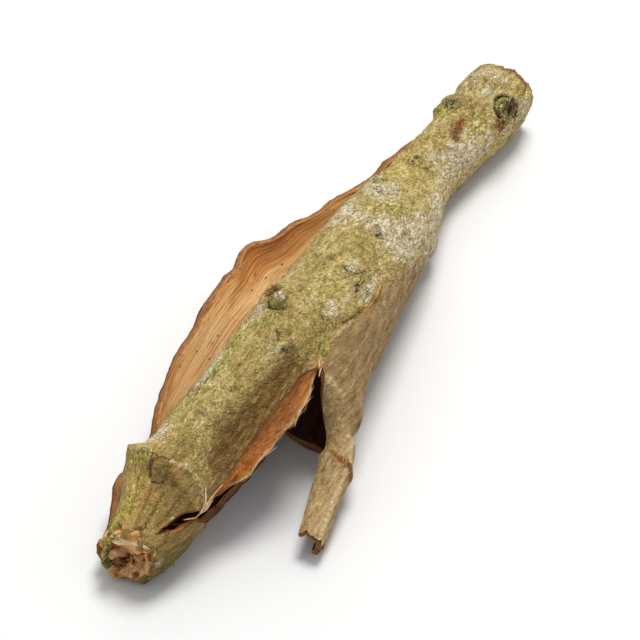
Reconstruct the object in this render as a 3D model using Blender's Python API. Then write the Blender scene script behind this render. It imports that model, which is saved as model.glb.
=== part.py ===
"""Willow bark: one quill, a sheet of bark peeled off a branch that rolled up as it dried.

A place on the sheet is given by x, the distance along the quill from its torn cone end,
and by turn, the angle round its axis in degrees. Turn 0 points to the side of the flange
(+Y), 90 points up and 180 to the side of the torn strip. The sheet overlaps itself, so
turn runs from below 0 to 365. Sizes are in millimetres until the mesh is made.
"""
import math

import bpy
from mathutils import Vector, noise

METRES = 0.001

# The sheet
THICKNESS = 1.25
MOUTH_X = 1.8
LENGTH = 126.5
LAYER_STEP = 2.0        # how much further out the sheet lies after one whole turn
CROWN_TURN = 115.0      # where the radius below is measured
FLOOR_THICKNESS = 0.75  # the least bark left where the underside is worn flat

# Values along the quill, as (x, value)
RADIUS = [(0, 4.5), (7, 6.0), (12, 7.2), (15, 8.2), (22, 8.6), (28, 9.4), (35, 10.1), (45, 10.6),
          (54, 10.8), (62, 10.1), (72, 9.3), (81, 8.6), (91, 7.0), (98, 5.7), (108, 5.5),
          (117, 5.8), (121, 6.1), (126.5, 5.6)]
AXIS_Y = [(0, 5.5), (8, 4.8), (15, 5.5), (22, 3.8), (35, 1.4), (54, -0.1), (72, 1.2), (91, 3.0),
          (101, 4.2), (108, 3.5), (118, 2.2), (126.5, 2.1)]
AXIS_LIFT = [(0, 1.05), (10, 0.8), (20, 0.55), (126.5, 0.55)]  # axis height over the radius

# The sheet's two free edges: one tucked inside the roll, one along the flange's rim
INNER_EDGE_TURN = [(0, -40), (20, -32), (32, -14), (60, -12), (78, -30), (95, -95), (110, -150),
                   (126.5, -150)]
RIM_TURN = [(0, 345), (18, 348), (30, 362), (75, 366), (100, 358), (115, 348), (126.5, 345)]
FLANGE_TURN = 298.0     # where the flange starts to leave the roll
FLANGE_CURL = 1.7       # the higher, the later it turns outward
FLANGE_REACH = [(20, 0), (25, 0.6), (30, 2.6), (37, 4.3), (44, 5.0), (50, 5.8), (60, 6.6),
                (67, 7.5), (72, 5.1), (77, 4.1), (81, 2.7), (88, 2.0), (94, 1.2), (100, 0.9),
                (106, 0.3), (112, 0)]
RIM_TOOTH = 0.6
RIM_TOOTH_PITCH = 5.3
RIM_STANDS_OUT = 3.0    # the rim's distance past the roll, for its teeth
INNER_EDGE_TOOTH = 0.5
INNER_EDGE_PITCH = 5.0

# The opening torn in the right wall, with the strip that hangs from its far end
SPLIT_X = 43.5
SLOT_END_X = 4.0
UPPER_LIP_TURN = [(4, 129), (8, 139), (10.5, 149), (13, 167), (15, 174), (18, 168), (21, 162),
                  (28, 152.5), (32.5, 147.5), (38, 143), (43.5, 138), (60, 139), (90, 141),
                  (126.5, 141)]
LOWER_LIP_TURN = [(4, 133), (7, 153), (10.5, 166), (13, 186), (15.5, 218), (18, 238), (24, 248),
                  (30, 254), (38, 262), (43.5, 264), (126.5, 262)]
LIP_BEVEL = [(4, 0.0), (8, 0.4), (14, 0.5), (22, 1.6), (38, 1.9), (43.5, 0.0)]
BRIM_LIFT = [(16, 0), (21, 0.9), (30, 1.3), (37, 1.0), (42, 0.3), (43.5, 0)]
BRIM_WIDTH = 8.0
BRIM_RISE = 1.9
BRIM_DIP = 1.25
UPPER_LIP_TOOTH = 0.4
LOWER_LIP_TOOTH = 0.6
LIP_PITCH = 3.6
CONE_END_X = 13.0
LIP_FADES = (5.0, 4.0)  # lengths over which the lips' teeth start and end
SLIT_X = (57.5, 66.0)   # a short crack in line with the tear
SLIT_WIDTH = 1.3

WALL_BULGE = [(36, 0), (43.5, 4.2), (48, 2.2), (54, 0)]  # it leans out where the strip leaves

# The torn strip, by the share of its length that lies behind: middle line and shape
STRIP_END_X = 20.3
STRIP_Y = [(0, -13.4), (0.19, -15.8), (0.45, -17.2), (1, -19.3)]
STRIP_Z = [(0, 5.6), (0.19, 7.2), (0.45, 6.0), (1, 3.7)]
STRIP_TURN = [(0, 201), (0.19, 160), (0.45, 150), (1, 145)]
STRIP_BEND = [(0, 9.0), (0.19, 3.3), (0.45, 3.1), (1, 2.6)]
STRIP_HALF_WIDTH = [(0, 11.5), (0.19, 6.7), (0.45, 6.2), (1, 4.5)]
STRIP_LEAVES = 0.2      # the share of its length over which it leaves the wall
STRIP_GAP = 5.0         # degrees of bark lost on each side of the strip where it starts
STRIP_GAP_OPENS = 0.05  # the share of its length over which they are lost
STRIP_NODE = (0.36, 1.0, 0.45)  # place along the strip, half length and height of its ring
STRIP_RIDGE = (-0.1, 0.16, 0.4)  # place across the strip, half width and height
STRIP_FACE = 0.93       # the outer face's width as a share of the inner face's
STRIP_TOOTH = 0.05      # of its length, at the tip
STRIP_TOOTH_PITCH = 0.45
STRIP_TIP_THICKNESS = 1.0

# Knots and scars on the outside: x, turn, radius, height of the ring, depth of the middle
KNOTS = [
    (116.5, 143.0, 2.6, 1.0, 0.9),
    (114.5, 33.0, 2.2, 1.1, 0.0),
    (106.5, 124.0, 1.6, 0.35, 0.5),
    (107.0, 84.0, 1.6, 0.5, 0.5),
    (98.0, 100.0, 2.2, 0.9, 0.2),
    (87.0, 76.0, 3.1, 1.1, 0.4),
    (74.0, 111.0, 1.8, 0.3, 0.6),
    (78.5, 137.0, 1.7, 0.3, 0.6),
    (62.5, 110.0, 2.0, 1.0, 0.0),
    (62.0, 126.0, 2.1, 1.0, 0.0),
    (51.5, 61.0, 2.8, 1.3, 0.25),
    (43.0, 100.0, 2.5, 1.1, 0.45),
    (12.0, 81.0, 1.6, 0.15, 0.4),
    (88.0, 215.0, 2.4, 0.8, 0.3),
    (64.0, 300.0, 2.5, 0.8, 0.3),
    (38.0, 312.0, 2.1, 0.8, 0.0),
    (106.0, 250.0, 2.0, 0.6, 0.2),
]
KNOT_STRETCH = 0.85     # a knot's width over its length
KNOT_RING_RADIUS = 0.5  # as a share of the knot's radius, with the two below
KNOT_RING_WIDTH = 0.5
KNOT_PIT_WIDTH = 0.45
KNOT_END = 1.6

# A ring across the quill where the cone starts
SHOULDER_X = [(20, 17.0), (60, 15.5), (97, 14.0), (144, 12.0), (175, 12.5)]
SHOULDER_TURNS = (5.0, 168.0)
SHOULDER_FADES = (25.0, 12.0)
SHOULDER_HEIGHT = 1.1
SHOULDER_WIDTH = 1.25
WAVE_HEIGHT = 0.32
WAVE_LENGTH = 11.0
WAVE_ARC = 4.2
WAVE_SEED = 0.3
WAVE_FADE_TURNS = (-10.0, 20.0)  # the covered layer is smooth, clear of the one over it

# The torn ends. A torn edge has coarse teeth with finer ones on them
TOOTH_SHARES = (0.65, 0.35)
FINE_PITCH = 0.37       # of the coarse pitch
END_RECESS = 0.4        # most teeth lie behind the end's mean line
MOUTH_TOOTH = 1.3
MOUTH_REACH = 6.5
MOUTH_BAST = 1.3
BAST_REACH = 6.0
BAST_END_TURN = 310.0
BAST_FADE_TURN = 40.0
TUBE_TOOTH = 1.1
TUBE_REACH = 8.0
END_TOOTH_PITCH = 21.0

# How many pieces the surface is cut into: stretches along x, then bands round the quill
STRETCHES = [(MOUTH_X, SLOT_END_X, 1), (SLOT_END_X, SPLIT_X, 16), (SPLIT_X, SLIT_X[0], 5),
             (SLIT_X[0], SLIT_X[1], 3), (SLIT_X[1], LENGTH, 18)]
UPPER_BAND = 12
WALL_BAND = 5
LOWER_BAND = 8
STRIP_ROWS = 9

BARK_COLOUR = (0.30, 0.25, 0.12, 1.0)
BARK_ROUGHNESS = 0.85
SHARP_EDGE_ANGLE = 50.0
STEP = 0.05             # for slopes


def clamp(value):
    return min(1.0, max(0.0, value))


def smooth(value):
    value = clamp(value)
    return value * value * (3.0 - 2.0 * value)


def mix(a, b, share):
    return a + (b - a) * share


def along(table, x):
    """The smooth curve through a table's points, at x."""
    if x <= table[0][0]:
        return table[0][1]
    if x >= table[-1][0]:
        return table[-1][1]
    k = next(i for i in range(1, len(table)) if table[i][0] >= x)
    (x0, v0), (x1, v1) = table[k - 1], table[k]
    before = table[max(k - 2, 0)]
    after = table[min(k + 1, len(table) - 1)]
    span = x1 - x0
    slope0 = (v1 - before[1]) / (x1 - before[0]) * span
    slope1 = (after[1] - v0) / (after[0] - x0) * span
    s = (x - x0) / span
    return (v0 * (1 + 2 * s) * (1 - s) ** 2 + slope0 * s * (1 - s) ** 2
            + v1 * s * s * (3 - 2 * s) - slope1 * s * s * (1 - s))


def tooth(place, pitch, seed):
    """A torn edge's height, -1 to 1: straight runs between random corners."""
    cell = math.floor(place / pitch)
    low = noise.cell(Vector((cell + 0.5, seed, 0.5)))
    high = noise.cell(Vector((cell + 1.5, seed, 0.5)))
    return 2.0 * mix(low, high, place / pitch - cell) - 1.0


def torn(place, pitch, seed):
    coarse, fine = TOOTH_SHARES
    return coarse * tooth(place, pitch, seed) + fine * tooth(place, pitch * FINE_PITCH, seed + 7)


def degrees_of(length, radius):
    return math.degrees(length / radius)


def brim(x, turn):
    """The hollow and the lifted lip along the torn edge of the upper wall."""
    lift = along(BRIM_LIFT, x)
    lip = along(UPPER_LIP_TURN, x)
    if lift <= 0.0 or turn > lip + 1.0:
        return 0.0
    inward = math.radians(lip - turn) * along(RADIUS, x)
    share = clamp(1.0 - inward / BRIM_WIDTH)
    return lift * (BRIM_RISE * share ** 3 - BRIM_DIP * math.sin(math.pi * share ** 1.3))


def wall_bulge(x, turn):
    """How far the wall leans out above and behind the torn strip's root."""
    first, last = along(UPPER_LIP_TURN, x), along(LOWER_LIP_TURN, x)
    share = clamp((turn - first) / (last - first))
    return along(WALL_BULGE, x) * math.sin(math.pi * share) ** 2


def sheet_radius(x, turn):
    radius = along(RADIUS, x) + LAYER_STEP * (turn - CROWN_TURN) / 360.0
    rim = along(RIM_TURN, x)
    opened = clamp((turn - FLANGE_TURN) / (rim - FLANGE_TURN))
    flange = along(FLANGE_REACH, x) * opened ** FLANGE_CURL
    return radius + flange + brim(x, turn) + wall_bulge(x, turn)


def surface(x, turn):
    """A point of the sheet's outer face, before its relief."""
    radius = sheet_radius(x, turn)
    angle = math.radians(turn)
    height = along(RADIUS, x) + along(AXIS_LIFT, x)
    return Vector((x, along(AXIS_Y, x) + radius * math.cos(angle), height + radius * math.sin(angle)))


def surface_normal(x, turn):
    across = surface(x, turn + STEP) - surface(x, turn - STEP)
    lengthwise = surface(x + STEP, turn) - surface(x - STEP, turn)
    return across.cross(lengthwise).normalized()


def knot_relief(x, turn):
    height = 0.0
    for knot_x, knot_turn, size, ring, pit in KNOTS:
        radius = along(RADIUS, knot_x)
        across = math.radians(turn - knot_turn) * radius
        distance = math.hypot((x - knot_x) * KNOT_STRETCH, across) / size
        if distance < KNOT_END:
            height += ring * math.exp(-((distance - KNOT_RING_RADIUS) / KNOT_RING_WIDTH) ** 2)
            height -= pit * math.exp(-(distance / KNOT_PIT_WIDTH) ** 2)
    return height


def shoulder_relief(x, turn):
    first, last = SHOULDER_TURNS
    first_fade, last_fade = SHOULDER_FADES
    ends = smooth((turn - first) / first_fade) * smooth((last - turn) / last_fade)
    distance = (x - along(SHOULDER_X, turn)) / SHOULDER_WIDTH
    return SHOULDER_HEIGHT * ends * math.exp(-distance * distance)


def relief(x, turn):
    """How far the outside stands off the smooth sheet."""
    arc = math.radians(turn) * along(RADIUS, x)
    wave = noise.noise(Vector((x / WAVE_LENGTH, arc / WAVE_ARC, WAVE_SEED)))
    first, last = WAVE_FADE_TURNS
    fade = smooth((turn - first) / (last - first))
    return fade * (WAVE_HEIGHT * wave + knot_relief(x, turn) + shoulder_relief(x, turn))


def torn_x(x, turn):
    """Row x moved so that both ends are torn, not sawn."""
    near = smooth(1.0 - (x - MOUTH_X) / MOUTH_REACH)
    far = smooth(1.0 - (LENGTH - x) / TUBE_REACH)
    x -= near * MOUTH_TOOTH * (torn(turn, END_TOOTH_PITCH, 3) - END_RECESS)
    return x + far * TUBE_TOOTH * (torn(turn, END_TOOTH_PITCH, 11) - END_RECESS)


def outer_point(x, turn):
    place = torn_x(x, turn)
    point = surface(place, turn) + surface_normal(place, turn) * relief(place, turn)
    point.z = max(point.z, 0.0)
    return point


def thickness(x, turn):
    """The bark is thick with torn bast at the mouth, but not where it lies over itself."""
    bast = smooth(1.0 - (x - MOUTH_X) / BAST_REACH) * smooth((BAST_END_TURN - turn) / BAST_FADE_TURN)
    return THICKNESS + MOUTH_BAST * bast


def inner_point(x, turn):
    place = torn_x(x, turn)
    point = surface(place, turn) - surface_normal(place, turn) * thickness(x, turn)
    point.z = max(point.z, FLOOR_THICKNESS)
    return point


def inner_edge_turn(x):
    notch = INNER_EDGE_TOOTH * torn(x, INNER_EDGE_PITCH, 2)
    return along(INNER_EDGE_TURN, x) + degrees_of(notch, along(RADIUS, x))


def rim_turn(x):
    notch = RIM_TOOTH * torn(x, RIM_TOOTH_PITCH, 5)
    return along(RIM_TURN, x) + degrees_of(notch, along(RADIUS, x) + RIM_STANDS_OUT)


def lip_notch(x, depth, seed):
    """The unevenness of the long torn edges, in degrees: none at the strip's root or the cone."""
    start_fade, end_fade = LIP_FADES
    fade = smooth((x - CONE_END_X) / start_fade) * smooth((SPLIT_X - x) / end_fade)
    return degrees_of(fade * depth * torn(x, LIP_PITCH, seed), along(RADIUS, x))


def upper_lip_turn(x):
    return along(UPPER_LIP_TURN, x) + lip_notch(x, UPPER_LIP_TOOTH, 9)


def lower_lip_turn(x):
    return along(LOWER_LIP_TURN, x) + lip_notch(x, LOWER_LIP_TOOTH, 13)


def slit_half_turn(x):
    first, last = SLIT_X
    share = clamp((x - first) / (last - first))
    return degrees_of(0.5 * SLIT_WIDTH * math.sin(math.pi * share), along(RADIUS, x))


def lip_bevel_turn(x):
    bevel = along(LIP_BEVEL, x) if x < SPLIT_X else 0.0
    return degrees_of(bevel, along(RADIUS, x))


def strip_shape(share, side):
    """The strip's outer face: share runs to its tip, side from -1, its upper edge, to 1."""
    bend = along(STRIP_BEND, share)
    turn = math.radians(along(STRIP_TURN, share))
    half = along(STRIP_HALF_WIDTH, share)
    out = Vector((0.0, math.cos(turn), math.sin(turn)))
    sideways = Vector((0.0, -math.sin(turn), math.cos(turn)))
    middle = Vector((mix(SPLIT_X, STRIP_END_X, share), along(STRIP_Y, share), along(STRIP_Z, share)))
    arc = side * half / bend
    return middle + sideways * (bend * math.sin(arc)) - out * (bend * (1.0 - math.cos(arc)))


def strip_surface(share, side):
    """The strip where it has left the wall, and a blend of both where it starts."""
    lost = STRIP_GAP * min(1.0, share / STRIP_GAP_OPENS)
    upper = upper_lip_turn(SPLIT_X) + lost
    lower = lower_lip_turn(SPLIT_X) - lost
    wall = surface(mix(SPLIT_X, STRIP_END_X, share), mix(upper, lower, 0.5 + 0.5 * side))
    return wall.lerp(strip_shape(share, side), smooth(share / STRIP_LEAVES))


def strip_normal(share, side):
    step = STEP / 10.0
    across = strip_surface(share, side + step) - strip_surface(share, side - step)
    lengthwise = strip_surface(share - step, side) - strip_surface(share + step, side)
    return across.cross(lengthwise).normalized()


def strip_relief(share, side):
    place, half, height = STRIP_NODE
    length = SPLIT_X - STRIP_END_X
    ring = height * math.exp(-((share - place) * length / half) ** 2)
    middle, width, ridge_height = STRIP_RIDGE
    ridge = ridge_height * math.exp(-((side - middle) / width) ** 2)
    return ring + ridge * smooth(share / STRIP_LEAVES)


def strip_torn_share(share, side):
    return share + STRIP_TOOTH * share ** 4 * torn(side, STRIP_TOOTH_PITCH, 17)


def strip_outer_point(share, side):
    share = strip_torn_share(share, side)
    across = side * STRIP_FACE
    point = strip_surface(share, across) + strip_normal(share, across) * strip_relief(share, side)
    point.z = max(point.z, 0.0)
    return point


def strip_inner_point(share, side):
    share = strip_torn_share(share, side)
    depth = mix(THICKNESS, STRIP_TIP_THICKNESS, share)
    point = strip_surface(share, side) - strip_normal(share, side) * depth
    point.z = max(point.z, 0.5 * FLOOR_THICKNESS)
    return point


class Sheet:
    """A closed sheet of bark: a fine outer face, an inner face half as fine, torn edges.

    It is made of cells. A cell has 3 by 3 points outside and 2 by 2 inside, and cells
    that share two corners join. A side that no second cell shares is walled up.
    """

    def __init__(self):
        self.points = []
        self.places = {}
        self.faces = []
        self.sides = {}

    def vertex(self, point):
        key = tuple(round(value * 1000.0) for value in point)
        if key not in self.places:
            self.places[key] = len(self.points)
            self.points.append(point * METRES)
        return self.places[key]

    def cell(self, outer, inner):
        out = [[self.vertex(point) for point in row] for row in outer]
        ins = [[self.vertex(point) for point in row] for row in inner]
        for i in range(2):
            for j in range(2):
                self.quad(out[i][j], out[i][j + 1], out[i + 1][j + 1], out[i + 1][j])
        self.quad(ins[0][0], ins[1][0], ins[1][1], ins[0][1])
        self.side(out[0][2], out[0][1], out[0][0], ins[0][1], ins[0][0])
        self.side(out[2][0], out[2][1], out[2][2], ins[1][0], ins[1][1])
        self.side(out[0][0], out[1][0], out[2][0], ins[0][0], ins[1][0])
        self.side(out[2][2], out[1][2], out[0][2], ins[1][1], ins[0][1])

    def quad(self, a, b, c, d):
        """Two triangles along the shorter diagonal."""
        p = self.points
        if (p[a] - p[c]).length <= (p[b] - p[d]).length:
            self.faces += [(a, b, c), (a, c, d)]
        else:
            self.faces += [(a, b, d), (b, c, d)]

    def side(self, first, middle, last, inner_first, inner_last):
        key = frozenset((first, last))
        if key in self.sides:
            del self.sides[key]
        else:
            self.sides[key] = (first, middle, last, inner_first, inner_last)

    def wall_up(self):
        for first, middle, last, inner_first, inner_last in self.sides.values():
            self.faces.append((first, middle, inner_first))
            self.faces.append((middle, inner_last, inner_first))
            self.faces.append((middle, last, inner_last))

    def patch(self, rows, columns, outer, inner):
        """Cells over a grid whose fine indices run to twice rows and twice columns."""
        for i in range(0, 2 * rows, 2):
            for j in range(0, 2 * columns, 2):
                out = [[outer(i + a, j + b) for b in range(3)] for a in range(3)]
                ins = [[inner(i + a, j + b) for b in (0, 2)] for a in (0, 2)]
                self.cell(out, ins)


def add_band(sheet, stretch, columns, first_turn, last_turn, last_turn_inside=None):
    """A band of the sheet, over one stretch of x, between two edges given as turn at x."""
    start, end, rows = stretch

    def point(i, j, make, last):
        x = mix(start, end, i / (2.0 * rows))
        return make(x, mix(first_turn(x), last(x), j / (2.0 * columns)))

    sheet.patch(rows, columns,
                lambda i, j: point(i, j, outer_point, last_turn),
                lambda i, j: point(i, j, inner_point, last_turn_inside or last_turn))


def add_strip(sheet):
    """The torn strip. Its first row is the wall's own edge."""
    rows, columns = 2 * STRIP_ROWS, 2 * WALL_BAND

    def point(i, j, wall_point, strip_point):
        if i == 0:
            turn = mix(upper_lip_turn(SPLIT_X), lower_lip_turn(SPLIT_X), j / columns)
            return wall_point(SPLIT_X, turn)
        return strip_point(i / rows, 2.0 * j / columns - 1.0)

    sheet.patch(STRIP_ROWS, WALL_BAND,
                lambda i, j: point(rows - i, j, outer_point, strip_outer_point),
                lambda i, j: point(rows - i, j, inner_point, strip_inner_point))


def upper_edge(x):
    """Where the upper wall ends outside: the torn edge is bevelled, and the slit is open."""
    return upper_lip_turn(x) - lip_bevel_turn(x) - slit_half_turn(x)


def upper_edge_inside(x):
    return upper_lip_turn(x) - slit_half_turn(x)


def wall_edge(x):
    return upper_lip_turn(x) + slit_half_turn(x)


def bark_sheet():
    sheet = Sheet()
    for stretch in STRETCHES:
        start, end, _ = stretch
        add_band(sheet, stretch, UPPER_BAND, inner_edge_turn, upper_edge, upper_edge_inside)
        add_band(sheet, stretch, LOWER_BAND, lower_lip_turn, rim_turn)
        if end <= SLOT_END_X:
            add_band(sheet, stretch, 1, wall_edge, lower_lip_turn)
        elif start >= SPLIT_X:
            add_band(sheet, stretch, WALL_BAND, wall_edge, lower_lip_turn)
    add_strip(sheet)
    sheet.wall_up()
    return sheet


def bark_material():
    material = bpy.data.materials.new("bark")
    material.use_nodes = True
    shader = material.node_tree.nodes["Principled BSDF"]
    shader.inputs["Base Color"].default_value = BARK_COLOUR
    shader.inputs["Roughness"].default_value = BARK_ROUGHNESS
    return material


def centred(points):
    """The points moved so that the middle of their box stands over the origin."""
    low = [min(point[axis] for point in points) for axis in range(3)]
    high = [max(point[axis] for point in points) for axis in range(3)]
    shift = Vector(((low[0] + high[0]) / 2, (low[1] + high[1]) / 2, low[2]))
    return [point - shift for point in points]


def build():
    for item in list(bpy.data.objects):
        bpy.data.objects.remove(item, do_unlink=True)
    sheet = bark_sheet()
    mesh = bpy.data.meshes.new("bark")
    mesh.from_pydata(centred(sheet.points), [], sheet.faces)
    mesh.validate()
    mesh.materials.append(bark_material())
    mesh.shade_smooth()
    mesh.set_sharp_from_angle(angle=math.radians(SHARP_EDGE_ANGLE))
    bark = bpy.data.objects.new("bark", mesh)
    bpy.context.scene.collection.objects.link(bark)


build()
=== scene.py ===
"""Willow bark: the looks of one quill of dried bark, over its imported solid.

The fine sheet of bark repeats the formulas of the solid it stands for. A place on the
sheet is given by x, the distance along the quill from its torn cone end, and by turn, the
angle round its axis in degrees. Turn 0 points to the side of the flange (+Y), 90 points up
and 180 to the side of the torn strip. Sizes are in millimetres until a mesh is made.
"""
import math

import bpy
import numpy as np
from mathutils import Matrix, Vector, noise

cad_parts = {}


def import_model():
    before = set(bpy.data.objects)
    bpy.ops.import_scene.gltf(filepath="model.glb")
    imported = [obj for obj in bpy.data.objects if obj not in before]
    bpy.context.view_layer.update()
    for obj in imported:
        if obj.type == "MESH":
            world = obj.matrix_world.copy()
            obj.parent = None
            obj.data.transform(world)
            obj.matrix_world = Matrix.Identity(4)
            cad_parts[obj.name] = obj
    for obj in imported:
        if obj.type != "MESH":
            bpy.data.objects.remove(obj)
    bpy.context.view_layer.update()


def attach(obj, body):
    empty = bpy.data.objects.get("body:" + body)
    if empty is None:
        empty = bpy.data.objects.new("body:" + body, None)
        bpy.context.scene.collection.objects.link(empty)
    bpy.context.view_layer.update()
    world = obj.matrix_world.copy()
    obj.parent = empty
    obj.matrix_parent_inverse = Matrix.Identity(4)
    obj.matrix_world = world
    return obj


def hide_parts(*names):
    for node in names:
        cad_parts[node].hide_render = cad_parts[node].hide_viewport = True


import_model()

METRES = 0.001
QUILL_MIDDLE = np.array([64.076, -0.545, 0.0])  # of its box, where the frame's origin is

# The sheet
THICKNESS = 1.25
MOUTH_X = 1.8
LENGTH = 126.5
LAYER_STEP = 2.0        # how much further out the sheet lies after one whole turn
CROWN_TURN = 115.0      # where the radius below is measured
FLOOR_THICKNESS = 0.75  # the least bark left where the underside is worn flat

# Values along the quill, as (x, value)
RADIUS = [(0, 4.5), (7, 6.0), (12, 7.2), (15, 8.2), (22, 8.6), (28, 9.4), (35, 10.1), (45, 10.6),
          (54, 10.8), (62, 10.1), (72, 9.3), (81, 8.6), (91, 7.0), (98, 5.7), (108, 5.5),
          (117, 5.8), (121, 6.1), (126.5, 5.6)]
AXIS_Y = [(0, 5.5), (8, 4.8), (15, 5.5), (22, 3.8), (35, 1.4), (54, -0.1), (72, 1.2), (91, 3.0),
          (101, 4.2), (108, 3.5), (118, 2.2), (126.5, 2.1)]
AXIS_LIFT = [(0, 1.05), (10, 0.8), (20, 0.55), (126.5, 0.55)]  # axis height over the radius

# The sheet's two free edges: one tucked inside the roll, one along the flange's rim
INNER_EDGE_TURN = [(0, -40), (20, -32), (32, -14), (60, -12), (78, -30), (95, -95), (110, -150),
                   (126.5, -150)]
RIM_TURN = [(0, 345), (18, 348), (30, 362), (75, 366), (100, 358), (115, 348), (126.5, 345)]
FLANGE_TURN = 298.0     # where the flange starts to leave the roll
FLANGE_CURL = 1.7       # the higher, the later it turns outward
FLANGE_REACH = [(20, 0), (25, 0.6), (30, 2.6), (37, 4.3), (44, 5.0), (50, 5.8), (60, 6.6),
                (67, 7.5), (72, 5.1), (77, 4.1), (81, 2.7), (88, 2.0), (94, 1.2), (100, 0.9),
                (106, 0.3), (112, 0)]
RIM_TOOTH = 0.42
RIM_TOOTH_PITCH = 8.3
RIM_STANDS_OUT = 3.0    # the rim's distance past the roll, for its teeth
INNER_EDGE_TOOTH = 0.5
INNER_EDGE_PITCH = 5.0

# The opening torn in the right wall, with the strip that hangs from its far end
SPLIT_X = 43.5
SLOT_END_X = 4.0
UPPER_LIP_TURN = [(4, 129), (8, 139), (10.5, 149), (13, 167), (15, 174), (18, 168), (21, 162),
                  (28, 152.5), (32.5, 147.5), (38, 143), (43.5, 138), (60, 139), (90, 141),
                  (126.5, 141)]
LOWER_LIP_TURN = [(4, 133), (7, 153), (10.5, 166), (13, 186), (15.5, 218), (18, 238), (24, 248),
                  (30, 254), (38, 262), (43.5, 264), (126.5, 262)]
LIP_BEVEL = [(4, 0.0), (8, 0.4), (14, 0.5), (22, 1.6), (38, 1.9), (43.5, 0.0)]
BRIM_LIFT = [(16, 0), (21, 0.9), (30, 1.3), (37, 1.0), (42, 0.3), (43.5, 0)]
BRIM_WIDTH = 8.0
BRIM_RISE = 1.9
BRIM_DIP = 1.25
BRIM_LIMIT = 1.12       # of its width: its teeth reach a little past the lip
BRIM_SKEW = 1.3         # the higher, the nearer its hollow lies to the lip
PAST_LIP = 1.0          # degrees past the lip where the brim has ended
UPPER_LIP_TOOTH = 0.12
LOWER_LIP_TOOTH = 0.35
LIP_PITCH = 3.6
CONE_END_X = 13.0
LIP_FADES = (5.0, 4.0)  # lengths over which the lips' teeth start and end
SLIT_X = (57.5, 66.0)   # a short crack in line with the tear
SLIT_WIDTH = 1.3
WALL_BULGE = [(36, 0), (43.5, 4.2), (48, 2.2), (54, 0)]  # it leans out where the strip leaves

# The torn strip, by the share of its length that lies behind: middle line and shape
STRIP_END_X = 20.3
STRIP_Y = [(0, -13.4), (0.19, -15.8), (0.45, -17.2), (1, -19.3)]
STRIP_Z = [(0, 5.6), (0.19, 7.2), (0.45, 6.0), (1, 3.7)]
STRIP_TURN = [(0, 201), (0.19, 160), (0.45, 150), (1, 145)]
STRIP_BEND = [(0, 9.0), (0.19, 3.3), (0.45, 3.1), (1, 2.6)]
STRIP_HALF_WIDTH = [(0, 11.5), (0.19, 6.7), (0.45, 6.2), (1, 4.5)]
STRIP_LEAVES = 0.2      # the share of its length over which it leaves the wall
STRIP_GAP = 5.0         # degrees of bark lost on each side of the strip where it starts
STRIP_GAP_OPENS = 0.05  # the share of its length over which they are lost
STRIP_NODE = (0.36, 1.0, 0.45)  # place along the strip, half length and height of its ring
STRIP_RIDGE = (-0.1, 0.16, 0.4)  # place across the strip, half width and height
STRIP_FACE = 0.93       # the outer face's width as a share of the inner face's
STRIP_TOOTH = 0.05      # of its length, at the tip
STRIP_TOOTH_PITCH = 0.45
STRIP_TIP_THICKNESS = 1.0
RIDGE_LINE_WIDTH = 0.09  # of the pale line on the ridge, across the strip
RIDGE_LINE_FADE = 8.0   # along x, from the strip's root
NODE_RUST = 0.7 / 23.0  # half length of its red-brown ring, as a share of the strip
STRIP_FLOOR_THICKNESS = 0.5 * FLOOR_THICKNESS

# Knots and scars on the outside: x, turn, radius, height of the ring, depth of the middle
KNOTS = [
    (116.5, 143.0, 2.6, 1.0, 0.9),
    (114.5, 33.0, 2.2, 1.1, 0.0),
    (106.5, 124.0, 1.6, 0.35, 0.5),
    (107.0, 84.0, 1.6, 0.5, 0.5),
    (98.0, 100.0, 2.2, 0.9, 0.2),
    (87.0, 76.0, 3.1, 1.1, 0.4),
    (74.0, 111.0, 1.8, 0.3, 0.6),
    (78.5, 137.0, 1.7, 0.3, 0.6),
    (62.5, 110.0, 2.0, 1.0, 0.0),
    (62.0, 126.0, 2.1, 1.0, 0.0),
    (51.5, 61.0, 2.8, 1.3, 0.25),
    (43.0, 100.0, 2.5, 1.1, 0.45),
    (12.0, 81.0, 1.6, 0.15, 0.4),
    (88.0, 215.0, 2.4, 0.8, 0.3),
    (64.0, 300.0, 2.5, 0.8, 0.3),
    (38.0, 312.0, 2.1, 0.8, 0.0),
    (106.0, 250.0, 2.0, 0.6, 0.2),
]
KNOT_STRETCH = 0.85     # a knot's width over its length
KNOT_RING_RADIUS = 0.5  # as a share of the knot's radius, with the two below
KNOT_RING_WIDTH = 0.5
KNOT_PIT_WIDTH = 0.45
KNOT_END = 1.6
KNOT_RINGS = (0.13, 16.0, 1.5, 0.4)  # height, angle per radius, end and fade of fine rings

# A ring across the quill where the cone starts
SHOULDER_X = [(20, 17.0), (60, 15.5), (97, 14.0), (144, 12.0), (175, 12.5)]
SHOULDER_TURNS = (5.0, 168.0)
SHOULDER_FADES = (25.0, 12.0)
SHOULDER_HEIGHT = 1.1
SHOULDER_WIDTH = 1.25
WAVE_HEIGHT = 0.32
WAVE_LENGTH = 11.0
WAVE_ARC = 4.2
WAVE_SEED = 0.3
WAVE_FADE_TURNS = (-10.0, 20.0)  # the covered layer is smooth, clear of the one over it

# The torn ends. A torn edge has coarse teeth with finer ones on them
TOOTH_SHARES = (0.65, 0.35)
FINE_PITCH = 0.37       # of the coarse pitch
END_RECESS = 0.4        # most teeth lie behind the end's mean line
MOUTH_TOOTH = 1.1
MOUTH_REACH = 6.5
MOUTH_BAST = 1.3
BAST_REACH = 6.0
BAST_END_TURN = 310.0
BAST_FADE_TURN = 40.0
LOBE_DEPTH = 1.9        # how much further the torn bast closes the mouth
BAST_LIMIT = 0.88       # of the radius
LOBE_SIZE = (2.6, 34.0)  # along x, and in degrees round the mouth
TUBE_TOOTH = 0.5
TUBE_REACH = 8.0
END_TOOTH_PITCH = 21.0

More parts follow.
